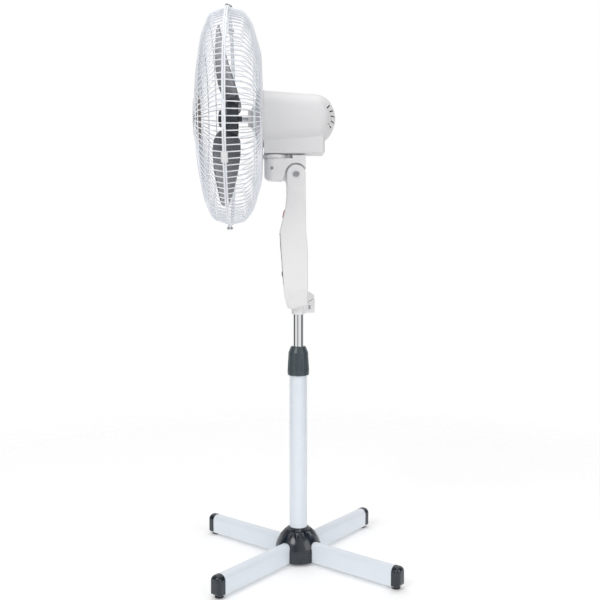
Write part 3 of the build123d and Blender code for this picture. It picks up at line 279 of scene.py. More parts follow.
def banded(name, dark, light, rough, metallic, scale, axis):
    """Stacked sheets or wound wire: fine bands along one axis."""
    made, nodes, links, shader = new_material(name)
    place = nodes.new("ShaderNodeTexCoord")
    wave = nodes.new("ShaderNodeTexWave")
    wave.bands_direction = axis
    wave.inputs["Scale"].default_value = scale
    wave.inputs["Distortion"].default_value = 0.4
    links.new(place.outputs["Object"], wave.inputs["Vector"])
    mix = nodes.new("ShaderNodeMix")
    mix.data_type = "RGBA"
    mix.inputs["A"].default_value = (*dark, 1)
    mix.inputs["B"].default_value = (*light, 1)
    links.new(wave.outputs["Fac"], mix.inputs["Factor"])
    links.new(mix.outputs["Result"], shader.inputs["Base Color"])
    shader.inputs["Metallic"].default_value = metallic
    gloss = ranged(nodes, links, noise(nodes, links, 90), rough - 0.06, rough + 0.08)
    links.new(gloss, shader.inputs["Roughness"])
    relief = nodes.new("ShaderNodeBump")
    relief.inputs["Strength"].default_value = 0.5
    relief.inputs["Distance"].default_value = RELIEF_DEPTH
    links.new(wave.outputs["Fac"], relief.inputs["Height"])
    links.new(relief.outputs["Normal"], shader.inputs["Normal"])
    return made


LOOKS = {
    "leg_paint": surface(
        "bluish_white_paint", (0.76, 0.81, 0.865), 0.30, vary=0.012, grain=300, bump=0.01,
        coat=0.25, smear=0.02,
    ),
    "white_plastic": surface(
        "white_moulded_plastic", (0.80, 0.798, 0.806), 0.38, vary=0.012, grain=2600,
        bump=0.08,
    ),
    # The white moulded plastic made darker for the motor covers: painted shade, not a different plastic.
    "white_plastic_painted_shade": surface(
        "white_plastic_painted_darker", (0.73, 0.728, 0.738), 0.38, vary=0.012, grain=2600,
        bump=0.08,
    ),
    "slate_plastic": surface(
        "glossy_slate_plastic", (0.011, 0.018, 0.027), 0.20, vary=0.12, grain=700, bump=0.02,
        coat=0.25, dust=0.02,
    ),
    "collar_plastic": surface(
        "satin_slate_plastic", (0.045, 0.062, 0.074), 0.36, vary=0.10, grain=2200, bump=0.10,
        coat=0.1, dust=0.03,
    ),
    "black_rubber": surface(
        "black_rubber", (0.018, 0.018, 0.02), 0.72, vary=0.2, grain=1800, bump=0.25,
        dust=0.10,
    ),
    "chrome": surface(
        "drawn_chrome", (0.86, 0.87, 0.89), 0.05, metallic=1.0, vary=0.02, grain=900,
        bump=0.012, smear=0.025, stretch=(1, 1, 0.04),
    ),
    "zinc_steel": surface(
        "zinc_plated_steel", (0.42, 0.43, 0.46), 0.30, metallic=1.0, vary=0.12, grain=1300,
        bump=0.08, smear=0.08,
    ),
    "guard_wire": surface(
        "wire_lacquer", (0.84, 0.87, 0.92), 0.30, vary=0.03, grain=1100, bump=0.03,
        coat=0.3,
    ),
    "blade_plastic": surface(
        "smoky_blade_plastic", (0.105, 0.112, 0.13), 0.20, vary=0.08, grain=500, bump=0.02,
        coat=0.35, alpha=0.80, dust=0.05,
    ),
    "hub_plastic": surface(
        "black_hub_plastic", (0.016, 0.024, 0.030), 0.22, vary=0.1, grain=700, bump=0.04,
        coat=0.4,
    ),
    "badge_plastic": surface(
        "silver_badge", (0.60, 0.62, 0.65), 0.26, metallic=0.6, vary=0.05, grain=1500,
        bump=0.05, coat=0.5,
    ),
    "badge_back": surface("taupe_plastic", (0.34, 0.28, 0.24), 0.50, vary=0.10, grain=1500, bump=0.12),
    "red_key": surface(
        "red_key_plastic", (0.62, 0.035, 0.055), 0.26, vary=0.06, grain=1800, bump=0.05,
        coat=0.5,
    ),
    "panel_dark": surface(
        "dark_panel", (0.020, 0.024, 0.030), 0.18, vary=0.12, grain=900, bump=0.03, coat=0.6,
        dust=0.03,
    ),
    "display": surface(
        "smoked_display", (0.006, 0.010, 0.013), 0.07, vary=0.1, grain=600, bump=0.01,
        coat=1.0,
    ),
    "board": surface("solder_mask", (0.015, 0.14, 0.06), 0.35, vary=0.2, grain=900, bump=0.2, coat=0.3),
    "nylon": surface("natural_nylon", (0.66, 0.64, 0.58), 0.42, vary=0.05, grain=1600, bump=0.10),
    "copper": banded("wound_copper", (0.30, 0.10, 0.04), (0.75, 0.34, 0.16), 0.30, 0.9, 380, "Y"),
    "lamination": banded("steel_sheets", (0.10, 0.10, 0.11), (0.36, 0.36, 0.38), 0.45, 0.8, 300, "Y"),
    "cast_alloy": surface(
        "cast_alloy", (0.50, 0.51, 0.53), 0.45, metallic=0.9, vary=0.12, grain=700, bump=0.35,
        smear=0.1,
    ),
    "black_plastic": surface(
        "black_plastic", (0.02, 0.02, 0.022), 0.42, vary=0.15, grain=1800, bump=0.15,
        dust=0.05,
    ),
}


# ------------------------------------------------------------------ carried-over CAD nodes
def edge_split_group(limit_degrees):
    """Geometry nodes that weld a CAD mesh and shade it smooth between its real edges."""
    group = bpy.data.node_groups.new(f"smooth_to_{limit_degrees}", "GeometryNodeTree")
    group.interface.new_socket("Geometry", in_out="INPUT", socket_type="NodeSocketGeometry")
    group.interface.new_socket("Geometry", in_out="OUTPUT", socket_type="NodeSocketGeometry")
    start = group.nodes.new("NodeGroupInput")
    end = group.nodes.new("NodeGroupOutput")
    weld = group.nodes.new("GeometryNodeMergeByDistance")
    weld.inputs["Distance"].default_value = 1e-6
    all_smooth = group.nodes.new("GeometryNodeSetShadeSmooth")
    all_smooth.domain = "FACE"
    sharp = group.nodes.new("GeometryNodeSetShadeSmooth")
    sharp.domain = "EDGE"
    sharp.inputs["Shade Smooth"].default_value = False
    angle = group.nodes.new("GeometryNodeInputMeshEdgeAngle")
    compare = group.nodes.new("FunctionNodeCompare")
    compare.operation = "GREATER_THAN"
    compare.inputs["B"].default_value = math.radians(limit_degrees)
    group.links.new(start.outputs[0], weld.inputs["Geometry"])
    group.links.new(weld.outputs["Geometry"], all_smooth.inputs["Geometry"])
    group.links.new(all_smooth.outputs["Geometry"], sharp.inputs["Geometry"])
    group.links.new(angle.outputs["Unsigned Angle"], compare.inputs["A"])
    group.links.new(compare.outputs["Result"], sharp.inputs["Selection"])
    group.links.new(sharp.outputs["Geometry"], end.inputs[0])
    return group


SMOOTH_BELOW = 28  # degrees
smoothing = edge_split_group(SMOOTH_BELOW)
slots_of = {row["node"]: row["material_slot"] for row in frame["record"]["subparts"]}
for node_name, node in frame["nodes"].items():
    node.data.materials.clear()
    node.data.materials.append(LOOKS[slots_of[node_name]])
    shading = node.modifiers.new("shading", "NODES")
    shading.node_group = smoothing

# ------------------------------------------------------------------ poles and collar
POLE_R, POLE_WALL, POLE_Z0, POLE_Z1 = 18.5, 1.2, 50.0, 396.0
TUBE_R, TUBE_WALL, TUBE_Z0, TUBE_Z1 = 11.0, 1.2, 150.0, 562.0


def pipe(name, radius, wall, low, high, body, slot_name, node_name):
    """A tube with its cut ends broken by a small chamfer."""
    edge = 0.3
    profile = [
        (low, radius - wall), (low, radius - edge), (low + edge, radius), (high - edge, radius),
        (high, radius - edge), (high, radius - wall),
    ]
    add_piece(name, lathe(name, profile, on_pole, 144), body, slot_name, [node_name])


pipe("outer_pole_tube", POLE_R, POLE_WALL, POLE_Z0, POLE_Z1, "base", "leg_paint", "outer_pole")
pipe("chrome_pole_tube", TUBE_R, TUBE_WALL, TUBE_Z0, TUBE_Z1, "column", "chrome", "inner_pole")

COLLAR_Z0, COLLAR_Z1, COLLAR_SHOULDER = 390.0, 449.5, 437.0
COLLAR_R0, COLLAR_R1, COLLAR_TOP_R, COLLAR_BORE_R, FLUTES = 22.4, 20.3, 15.5, 11.35, 20
FLUTE_AXIS_R, FLUTE_R, FLUTE_TAPER = 23.3, 2.2, math.tan(math.radians(0.9))


def fluted(along, radius, angle):
    """The collar's radius with its finger flutes, which start above the smooth lower band."""
    lift = along - (COLLAR_Z0 + 10)
    if lift <= 0 or radius < COLLAR_TOP_R + 2:
        return radius
    pitch = 2 * math.pi / FLUTES
    off = (angle + pitch / 2) % pitch - pitch / 2
    cut = (FLUTE_R + lift * FLUTE_TAPER) ** 2 - (FLUTE_AXIS_R * math.sin(off)) ** 2
    if cut <= 0:
        return radius
    return min(radius, FLUTE_AXIS_R * math.cos(off) - math.sqrt(cut))


def collar_profile():
    """The collar's outline from its lower rim over the shoulder to its bore."""
    outer = rounded(
        [
            (COLLAR_Z0, COLLAR_R0 - 3), (COLLAR_Z0, COLLAR_R0 - 0.6), (COLLAR_Z0 + 4, COLLAR_R0),
            (COLLAR_Z0 + 9, COLLAR_R0), (COLLAR_SHOULDER, COLLAR_R1), (COLLAR_Z1 - 1, COLLAR_TOP_R),
            (COLLAR_Z1, COLLAR_TOP_R - 1.4), (COLLAR_Z1, COLLAR_BORE_R),
        ],
        [0, 0.8, 3, 12, 3.0, 0.9, 0.5, 0],
        closed=False,
    )
    dense = []
    for (a0, r0), (a1, r1) in zip(outer, outer[1:]):
        steps = max(1, math.ceil(math.dist((a0, r0), (a1, r1)) / 1.2))
        dense += [(a0 + (a1 - a0) * s / steps, r0 + (r1 - r0) * s / steps) for s in range(steps)]
    inner = [
        (COLLAR_Z1, COLLAR_BORE_R), (446, COLLAR_BORE_R), (446, 13.05), (429.5, 14.75), (428, 16.26),
        (POLE_Z1 + 3.3, 16.26), (POLE_Z1 + 3.3, POLE_R + 0.35), (COLLAR_Z0, POLE_R + 0.35),
    ]
    return dense + inner


collar = lathe("collar", collar_profile(), on_pole, FLUTES * 24, shape=fluted)
add_piece("height_collar_grip", collar, "collar", "collar_plastic", ["height_collar"], crease=40)

# ------------------------------------------------------------------ cross base
BASE_TURN = 4.8
LEG_W, LEG_H, LEG_Z, LEG_TOP_R, LEG_FOOT_R = 25.0, 38.0, 6.0, 11.0, 3.0
LEG_REACH, CAP_REACH, LEG_WALL = 241.0, 253.0, 1.2
END_ANGLES = [math.radians(a + BASE_TURN) for a in (-45, 135, 45, 225)]


def arch(grow, drop=0.0, arc_points=9):
    """A leg's arch-topped section (across, up), grown outwards, always the same count of points."""
    half, low, high = LEG_W / 2 + grow, LEG_Z - grow - drop, LEG_Z + LEG_H + grow
    top, foot = max(0.4, LEG_TOP_R + grow), max(0.4, LEG_FOOT_R + grow)
    corners = [
        (half - foot, low + foot, foot, -90), (half - top, high - top, top, 0),
        (-half + top, high - top, top, 90), (-half + foot, low + foot, foot, 180),
    ]
    out = []
    for x, z, radius, start in corners:
        for s in range(arc_points):
            a = math.radians(start + 90 * s / (arc_points - 1))
            out.append((x + radius * math.cos(a), z + radius * math.sin(a)))
    return out


def along_leg(angle):
    """A place function: (across, up, distance out along the leg)."""
    def place(u, v, h):
        return (
            h * math.cos(angle) - u * math.sin(angle), h * math.sin(angle) + u * math.cos(angle), v,
        )
    return place


NOSE_R, CAP_GROW, CAP_LAP = 8.0, 0.6, 5.5
caps = []
for end_angle in END_ANGLES:
    place = along_leg(end_angle)
    stations = [(LEG_REACH - CAP_LAP, CAP_GROW - 0.5), (LEG_REACH - CAP_LAP + 0.4, CAP_GROW)]
    for s in range(11):
        a = math.radians(90 * s / 10)
        shrink = NOSE_R * (1 - math.cos(a)) * 0.98
        stations.append((CAP_REACH - NOSE_R + NOSE_R * math.sin(a), CAP_GROW - shrink))
    caps.append(loft("cap", [[place(u, v, h) for u, v in arch(grow)] for h, grow in stations]))
    caps.append(prism("spigot", arch(-LEG_WALL - 0.15), place, LEG_REACH - 20, LEG_REACH + 0.03))
add_piece("leg_end_caps", joined("caps", caps), "base", "slate_plastic", ["leg_caps"], crease=50)

HUB_R, HUB_WALL, HUB_Z0, HUB_Z1 = 47.5, 3.2, 4.5, 70.5
PETALS, PETAL_R, PETAL_DEPTH = 14, 5.5, 1.7


def through_arc(start, middle, end, steps):
    """Points of the arc through three points."""
    (ax, ay), (bx, by), (cx, cy) = start, middle, end
    d = 2 * (ax * (by - cy) + bx * (cy - ay) + cx * (ay - by))
    ux = ((ax**2 + ay**2) * (by - cy) + (bx**2 + by**2) * (cy - ay) + (cx**2 + cy**2) * (ay - by)) / d
    uy = ((ax**2 + ay**2) * (cx - bx) + (bx**2 + by**2) * (ax - cx) + (cx**2 + cy**2) * (bx - ax)) / d
    radius = math.dist((ux, uy), start)
    a0 = math.atan2(ay - uy, ax - ux)
    a1 = math.atan2(cy - uy, cx - ux)
    while a1 - a0 > math.pi:
        a1 -= 2 * math.pi
    while a1 - a0 < -math.pi:
        a1 += 2 * math.pi
    angles = [a0 + (a1 - a0) * s / steps for s in range(steps + 1)]
    return [(ux + radius * math.cos(a), uy + radius * math.sin(a)) for a in angles]


def hub_side(inset):
    """The bell's slope as (height, radius), from the skirt up to the pole."""
    return [
        (z, r)
        for r, z in through_arc(
            (HUB_R - inset, 30 - inset / 2), (38.6 - inset, 51 - inset / 2),
            (POLE_R + 0.35, HUB_Z1 - inset), 26,
        )
    ]


hub_profile = (
    [(HUB_Z0, HUB_R - HUB_WALL), (HUB_Z0, HUB_R - 0.4), (HUB_Z0 + 0.4, HUB_R)]
    + hub_side(0)
    + list(reversed(hub_side(HUB_WALL)))
)
hub = lathe("hub", hub_profile, on_pole, 168)


def petal_bar(turn):
    """A round bar laid along the bell's slope, which leaves an almond-shaped hollow."""
    outward, downhill = Vector((0, 0.6, 0.8)), Vector((0, 0.8, -0.6))
    centre = Vector((0, 35.2, 55.2)) + outward * (PETAL_R - PETAL_DEPTH)
    spin = Matrix.Rotation(turn, 3, "Z")

    def place(u, v, h):
        return tuple(spin @ (centre + Vector((u, 0, 0)) + outward * v + downhill * h))

    return prism("bar", circle(PETAL_R, 40), place, -14, 14)


bars = [petal_bar(math.radians(BASE_TURN) + k * 2 * math.pi / PETALS) for k in range(PETALS)]
for group in (bars[0::2], bars[1::2]):
    hub = boolean(hub, joined("petals", group), "DIFFERENCE")
doorways = [prism("door", arch(0.5, drop=10), along_leg(a), POLE_R, POLE_R + 60) for a in END_ANGLES]
hub = boolean(hub, joined("doorways", doorways), "DIFFERENCE")
add_piece("hub_bell", hub, "base", "slate_plastic", ["hub_cover"], crease=24)

# ------------------------------------------------------------------ control box
BOX_HALF, NECK_HALF, BOX_WALL, BOX_EDGE = 41.0, 22.0, 2.2, 3.0
TILT_Y, TILT_Z, EAR_R, FORK_HALF = -5.0, 800.0, 19.2, 13.0
PANEL_TOP, PANEL_FOOT = Vector((0, -38.0, 684.0)), Vector((0, -30.5, 576.0))


def box_limits(inset):
    """Outlines of the box seen from the side (Y, Z) and from the front (X, Z)."""
    front, back, top = TILT_Y - EAR_R + inset, TILT_Y + EAR_R - inset, TILT_Z + EAR_R - inset
    side = rounded(
        [
            (back, top), (back, 690), (18.2 - inset, 646), (18.2 - inset, 537.2 + inset),
            (-12, 526.6 + inset), (-23.2 + inset, 530.6 + inset), (-28.4 + inset, 553),
            (PANEL_FOOT.y + inset, PANEL_FOOT.z - 3), (PANEL_TOP.y + inset, PANEL_TOP.z + 2),
            (-33.6 + inset, 704), (-25.6 + inset, 738), (front, 756), (front, top),
        ],
        [EAR_R - inset, 40, 60, 3, 6, 5, 20, 30, 5, 25, 25, 40, EAR_R - inset - 0.001],
    )
    half = [
        (NECK_HALF - inset, TILT_Z + EAR_R + 1), (NECK_HALF - inset, 764), (BOX_HALF - inset, 702),
        (BOX_HALF - 2 - inset, 566), (24 - inset, 526 + inset), (0, 526 + inset),
    ]
    return side, rounded(half, [0, 40, 50, 24, 14, 0], closed=False)


def crossings(outline, level, closed):
    """Where an outline of (across, up) points crosses a level, across."""
    found = []
    pairs = zip(outline, outline[1:] + outline[:1]) if closed else zip(outline, outline[1:])
    for (a0, z0), (a1, z1) in pairs:
        if min(z0, z1) <= level <= max(z0, z1) and z0 != z1:
            found.append(a0 + (a1 - a0) * (level - z0) / (z1 - z0))
    return found


def rounded_rectangle(half, y0, y1, radius, z):
    """Level section of the box, always the same count of points."""
    radius = max(0.02, min(radius, half * 0.98, (y1 - y0) / 2 * 0.98))
    out = []
    corners = [(half, y1, 0), (-half, y1, 90), (-half, y0, 180), (half, y0, 270)]
    for x, y, start in corners:
        cx, cy = x - math.copysign(radius, x), y - radius if y == y1 else y + radius
        for s in range(8):
            a = math.radians(start + 90 * s / 7)
            out.append((cx + radius * math.cos(a), cy + radius * math.sin(a), z))
    return out


def box_loft(inset):
    """The box and its neck as one stack of level sections."""
    side, front = box_limits(inset)
    heights = sorted({round(z, 2) for _, z in side} | {round(z, 2) for _, z in front})
    low, high = min(z for _, z in side) + 0.02, max(z for _, z in side) - 0.02
    heights = [low] + [z for z in heights if low + 0.1 < z < high - 0.1] + [high]
    levels = []
    for z0, z1 in zip(heights, heights[1:]):
        steps = max(1, math.ceil((z1 - z0) / 3.0))
        levels += [z0 + (z1 - z0) * s / steps for s in range(steps)]
    levels.append(high)
    sections = []
    for z in levels:
        ys = crossings(side, z, True)
        halves = crossings(front, z, False) or [NECK_HALF - inset]
        sections.append(rounded_rectangle(max(halves), min(ys), max(ys), BOX_EDGE, z))
    return loft("box", sections)


panel_up = (PANEL_TOP - PANEL_FOOT).normalized()
panel_out = Vector((0, -panel_up.z, panel_up.y))
panel_mid = (PANEL_TOP + PANEL_FOOT) / 2
PANEL_HALF, PANEL_LENGTH, PANEL_CORNER = 31.0, (PANEL_TOP - PANEL_FOOT).length - 2, 14.0


def on_panel(u, v, h):
    """A point by its place across and up the front panel and its height off it."""
    return tuple(panel_mid + Vector((u, 0, 0)) + panel_up * v + panel_out * h)


slope_out = Vector((0, -34, 8)).normalized()
slope_up = Vector((0, 8, 34)).normalized()


def on_slope(u, v, h):
    """A point about the power key on the box's upper slope."""
    return tuple(Vector((u, -29.6, 721.0)) + slope_up * v + slope_out * h)


def across_x(u, v, h):
    """A side outline (Y, Z) carried along X."""
    return (h, u, v)


def from_back(u, v, h):
    """A rear outline (X, Z) carried along Y."""
    return (u, h, v)


def rectangle(half_u, half_v, radius, centre=(0.0, 0.0)):
    """A rounded rectangle about a centre."""
    corners = [(half_u, half_v), (-half_u, half_v), (-half_u, -half_v), (half_u, -half_v)]
    outline = rounded(corners, [radius] * 4)
    return [(u + centre[0], v + centre[1]) for u, v in outline]


BACK_HALF, BACK_Z0, BACK_Z1, POST_Y = 34.0, 546.0, 690.0, 8.0
POWER_R, SOCKET_R = 8.6, 14.0
box = box_loft(0)
back_middle = (0, (BACK_Z0 + BACK_Z1) / 2)
panel_pocket = rectangle(PANEL_HALF, PANEL_LENGTH / 2, PANEL_CORNER)
back_door = rectangle(BACK_HALF, (BACK_Z1 - BACK_Z0) / 2, 8, back_middle)
box_cuts = [
    box_loft(BOX_WALL),
    prism("fork", rectangle(FORK_HALF, 30, 0.6, (0, 803)), from_back, -60, 60),
    prism("panel", panel_pocket, on_panel, -BOX_WALL - 1, 9),
    prism("power", circle(POWER_R + 0.4, 64), on_slope, -8, 8),
    prism("back", back_door, from_back, POST_Y, 40),
    prism("socket", circle(SOCKET_R + 0.1, 64), upright, 500, 560),
    prism("bolt", circle(4.1, 32, (TILT_Y, TILT_Z)), across_x, -60, 60),
]
for cutter in box_cuts:
    box = boolean(box, cutter, "DIFFERENCE")
add_piece("control_box", box, "column", "white_plastic", ["control_housing"], crease=30)

# ------------------------------------------------------------------ motor covers
COVER_R, COVER_SEAM, COVER_Y0, COVER_Y1, SHELL = 57.0, -69.5, -77.6, 75.0, 2.2
KEEL_HALF, KEEL_Z, KEEL_Y1 = 31.0, 841.0, 52.5


def hermite(p0, p1, t0, t1, steps):
    """Points of a cubic curve from p0 to p1 with end tangents t0 and t1, without the last point."""
    out = []
    for s in range(steps):
        h = cubic_weights(s / steps)
        out.append(tuple(h[0] * a + h[1] * b + h[2] * c + h[3] * d for a, b, c, d in zip(p0, t0, p1, t1)))
    return out


def cover_body(inset):
    """The rear cover's turned body joined to its flat-sided keel, moved inwards by inset."""
    y0 = COVER_SEAM - (1 if inset else 0)
    end = (COVER_Y1 - inset, 0.01)
    shoulder, back = (38, 48.6 - inset), (60 - inset * 0.7, 38.5 - inset * 0.7)
    profile = [(y0, 0.01), (y0, COVER_R - 1.2 - inset - 0.3), (y0 + 0.4, COVER_R - 1.2 - inset)]
    start = profile[-1]
    profile += [
        (start[0] + (shoulder[0] - start[0]) * s / 12, start[1] + (shoulder[1] - start[1]) * s / 12)
        for s in range(1, 12)
    ]
    profile += hermite(shoulder, back, (24, -3), (22, -19), 12)
    profile += hermite(back, end, (20, -22), (0, -44), 20)
    profile.append(end)
    turned = lathe("dome", profile, on_shaft, 144)
    floor = KEEL_Z + inset
    half, rear = KEEL_HALF - inset, KEEL_Y1 - inset
    outline = rounded(
        [(half, y0), (half, rear), (-half, rear), (-half, y0)], [0, 8 - inset, 8 - inset, 0]
    )
    keel = prism("keel", outline, upright, floor, FAN_Z - 20)
    return boolean(turned, bevelled_floor(keel, floor, 4.0 - inset), "UNION")


def bevelled_floor(mesh, floor, radius):
    """Rounds the keel's lower edge, apart from the edge at the seam."""
    bm = bmesh.new()
    bm.from_mesh(mesh)
    seam = (COVER_SEAM - 1.5) * MM, (COVER_SEAM + 0.5) * MM
    edges = [
        e for e in bm.edges
        if all(abs(v.co.z - floor * MM) < 1e-6 for v in e.verts)
        and not all(seam[0] <= v.co.y <= seam[1] for v in e.verts)
    ]
    bmesh.ops.bevel(
        bm, geom=edges, offset=radius * MM, segments=6, affect="EDGES", profile=0.5, clamp_overlap=False
    )
    bm.to_mesh(mesh)
    bm.free()
    return mesh


VENT_Y, VENT_ANGLES = 43.0, (52, 28, 4, -20, -44)


def vent(angle, side):
    """A slot cut through the dome's side."""
    a = math.radians(angle)
    outline = rounded([(20, -1.2), (30, -1.2), (30, 1.2), (20, 1.2)], [1.19] * 4)

    def place(u, v, h):
        y = VENT_Y + u * math.cos(a) - v * math.sin(a)
        return (side * h, y, FAN_Z + u * math.sin(a) + v * math.cos(a))

    return prism("vent", outline, place, 5, 62)


rear_cover = boolean(cover_body(0), cover_body(SHELL), "DIFFERENCE")
vents = [vent(a, side) for a in VENT_ANGLES for side in (-1, 1)]
rear_cover = boolean(rear_cover, joined("vents", vents), "DIFFERENCE")
keel_cuts = [  # the swivel's mouth, the riser slot and the pinion's gate
    circle(11.3, 64, (0, SWING_Y)), rectangle(13.3, 2.3, 0.3, (0, SWING_Y - 12)), circle(3.2, 32, (0, -21)),
]
for outline in keel_cuts:
    cutter = prism("keel_cut", outline, upright, KEEL_Z - 2, KEEL_Z + 5)
    rear_cover = boolean(rear_cover, cutter, "DIFFERENCE")
# The rear shell's slot is white plastic; its look is the darker copy, which paints shade into it.
add_piece(
    "motor_rear_shell", rear_cover, "head", "white_plastic", ["motor_rear_cover"], crease=30,
    look="white_plastic_painted_shade",
)

front_cover = rounded(
    [
        (COVER_SEAM - 0.15, COVER_R - SHELL), (COVER_SEAM - 0.15, COVER_R - 0.3),
        (COVER_Y0 + 1.5, COVER_R + 0.3), (COVER_Y0, COVER_R - 2.4), (COVER_Y0, 27.5), (-82.8, 26.5),
        (-82.8, 13.0), (-99.6, 13.0),
        (-99.6, 7.5), (COVER_Y0 + SHELL, 7.5), (COVER_Y0 + SHELL, COVER_R - SHELL),
    ],
    [0, 0.5, 2.0, 1.2, 1, 1, 1, 0.5, 0, 0, 2],
)
# The front shell's slot is white plastic; its look is the darker copy, which paints shade into it.
add_piece(
    "motor_front_shell", lathe("front_cover", front_cover, on_shaft, 144), "head", "white_plastic",
    ["motor_front_cover"], look="white_plastic_painted_shade",
)

# ------------------------------------------------------------------ guard
GUARD_R, RIM_WIRE_R, WIRE_R, WIRES = 214.7, 1.75, 1.05, 104
REAR_RIM_Y, FRONT_RIM_Y = -136.8, -140.8
WIRE_END_R = GUARD_R - RIM_WIRE_R - WIRE_R - 0.03
REAR_PATH = [
    (-84.6, 30), (-82.4, 52), (-72.6, 70), (-74.6, 125), (-92.5, 186), (-110, 206), (-135.5, WIRE_END_R),
]
REAR_BENDS = [0, 8, 8, 60, 60, 12, 0]
FRONT_PATH = [(-205.6, 36), (-204.6, 62), (-198.6, 112), (-187.6, 168), (-172, 202), (-140.3, WIRE_END_R)]
FRONT_BENDS = [0, 80, 120, 60, 16, 0]
WIRE_SIDES = 10


def one_wire(path, bends):
    """A bent wire in the plane of the shaft, as (along, radius, tangential) rings."""
    line = rounded(path, bends, closed=False)
    rings = []
    for k, (y, r) in enumerate(line):
        y0, r0 = line[max(0, k - 1)]
        y1, r1 = line[min(len(line) - 1, k + 1)]
        length = math.hypot(y1 - y0, r1 - r0)
        ny, nr = (r1 - r0) / length, -(y1 - y0) / length
        rings.append([(y + c * ny, r + c * nr, s) for c, s in circle(WIRE_R, WIRE_SIDES)])
    return rings


def radial_wires(path, bends):
    """The wire repeated all round the shaft."""
    rings = one_wire(path, bends)
    wires = []
    for k in range(WIRES):
        a = 2 * math.pi * k / WIRES + math.pi / 2
        c, s = math.cos(a), math.sin(a)
        sections = [[(r * c - t * s, y, FAN_Z + r * s + t * c) for y, r, t in ring] for ring in rings]
        wires.append(loft("wire", sections))
    return joined("wires", wires)


def ring_at(path, radius, side):
    """The (along, radius) centre of a ring lying against a wire, on its front (-1) or rear (1) side."""
    for (y0, r0), (y1, r1) in zip(path, path[1:]):
        if r0 <= radius <= r1:
            away = Vector((r1 - r0, y0 - y1)).normalized() * (2 * WIRE_R + 0.12)
            y = y0 + (y1 - y0) * (radius - r0) / (r1 - r0)
            return (y + side * away.x, radius + side * away.y)


def rings(spots, rim_y):
    """Support rings and the thicker rim."""
    made = [
        lathe("ring", circle(WIRE_R, 12, spot), on_shaft, 192) for spot in spots
    ]
    made.append(lathe("rim", circle(RIM_WIRE_R, 18, (rim_y, GUARD_R)), on_shaft, 256))
    return joined("rings", made)


rear_spots = [ring_at(REAR_PATH, r, -1) for r in (38, 98, 158)]
front_spots = [ring_at(FRONT_PATH, r, 1) for r in (42, 88, 140, 186)]
guard_pieces = [
    ("rear_wires", radial_wires(REAR_PATH, REAR_BENDS), "rear_guard_wires"),
    ("front_wires", radial_wires(FRONT_PATH, FRONT_BENDS), "front_guard_wires"),
    ("rear_rings", rings(rear_spots, REAR_RIM_Y), "rear_guard_rings"),
    ("front_rings", rings(front_spots, FRONT_RIM_Y), "front_guard_rings"),
]
for piece_name, guard_mesh, cad_node in guard_pieces:
    add_piece(piece_name, guard_mesh, "head", "guard_wire", [cad_node], crease=60)

BADGE_R = 46.5
badge = [(-209.4, 0.01), (-206.8, 0.01), (-206.8, BADGE_R)]
badge += through_arc((-206.8, BADGE_R), (-208.9, BADGE_R - 3.5), (-209.2, BADGE_R - 10), 12)[1:]
add_piece("badge_face", lathe("badge", badge, on_shaft, 128), "head", "badge_plastic", ["badge_front"])
badge_rear = rounded(
    [
        (-206.7, 0.01), (-206.7, 9), (-202, 9), (-202, BADGE_R - 3), (-200.5, BADGE_R - 1),
        (-199.6, BADGE_R - 3), (-199.6, 0.01),
    ],
    [0, 0.5, 0.5, 0, 0.6, 0.6, 0],
)
badge_rear = lathe("badge_rear", badge_rear, on_shaft, 128)
add_piece("badge_rear", badge_rear, "head", "badge_back", ["badge_back"])

# ------------------------------------------------------------------ blade
BLADES, BLADE_R, BLADE_T, BLADE_PHASE = 3, 189.0, 2.4, 30.0
ROOT_R, TIP_START_R = 36.5, 150.0  # a blade's start inside the hub's wall, and where its tip starts to round
BLADE_SECTIONS = np.array(  # radius, chord, pitch in degrees, sideways shift and Y of the middle
    [
        (37.0, 50.0, 42.0, 3.0, -134.5), (62.0, 84.0, 31.5, 5.0, -139.5),
        (100.0, 116.0, 21.0, 8.0, -145.5), (140.0, 126.0, 13.5, 11.0, -149.5),
        (172.0, 98.0, 9.5, 13.0, -151.5), (186.5, 50.0, 8.0, 15.0, -152.0),
    ]
)


def blade_at(radius):
    """chord, pitch, shift and Y at a radius, on smooth curves through the sections."""
    radii = BLADE_SECTIONS[:, 0]
    k = int(np.clip(np.searchsorted(radii, radius) - 1, 0, len(radii) - 2))
    slopes = np.gradient(BLADE_SECTIONS[:, 1:], radii, axis=0)
    width = radii[k + 1] - radii[k]
    p0, p1 = BLADE_SECTIONS[k, 1:], BLADE_SECTIONS[k + 1, 1:]
    h = cubic_weights((radius - radii[k]) / width)
    return h[0] * p0 + h[1] * slopes[k] * width + h[2] * p1 + h[3] * slopes[k + 1] * width


def blade_section(radius):
    """A thin section with rounded edges, thickest in the middle."""
    chord, pitch, shift, y = blade_at(min(radius, BLADE_SECTIONS[-1, 0]))
    if radius > TIP_START_R:
        past = (radius - TIP_START_R) / (BLADE_R + 0.4 - TIP_START_R)
        chord *= math.sqrt(max(0.02, 1 - past**4))
    a = math.radians(pitch)
    half = chord / 2
    steps = 18
    upper, lower = [], []
    for s in range(steps + 1):
        v = -math.cos(math.pi * s / steps)
        thick = BLADE_T / 2 * min(1.0, 0.25 + 2.2 * math.sqrt(max(0.0, 1 - abs(v))))
        thick *= 1.0 if abs(v) < 1 else 0.15
        upper.append((v * half, thick))
        lower.append((v * half, -thick))
    out = []
    for u, t in upper + lower[::-1]:
        out.append((shift + u * math.cos(a) - t * math.sin(a), y + u * math.sin(a) + t * math.cos(a), radius))
    return out


def whole_blade():
    """Three blades about the shaft."""
    radii = [ROOT_R + (BLADE_R - ROOT_R) * (1 - (1 - s / 40) ** 1.6) for s in range(41)]
    blades = []
    for k in range(BLADES):
        a = math.radians(BLADE_PHASE + k * 360 / BLADES)
        c, s = math.cos(a), math.sin(a)
        sections = [
            [(x * c + r * s, y, FAN_Z - x * s + r * c) for x, y, r in blade_section(radius)]
            for radius in radii
        ]
        blades.append(loft("blade", sections))
    return blades


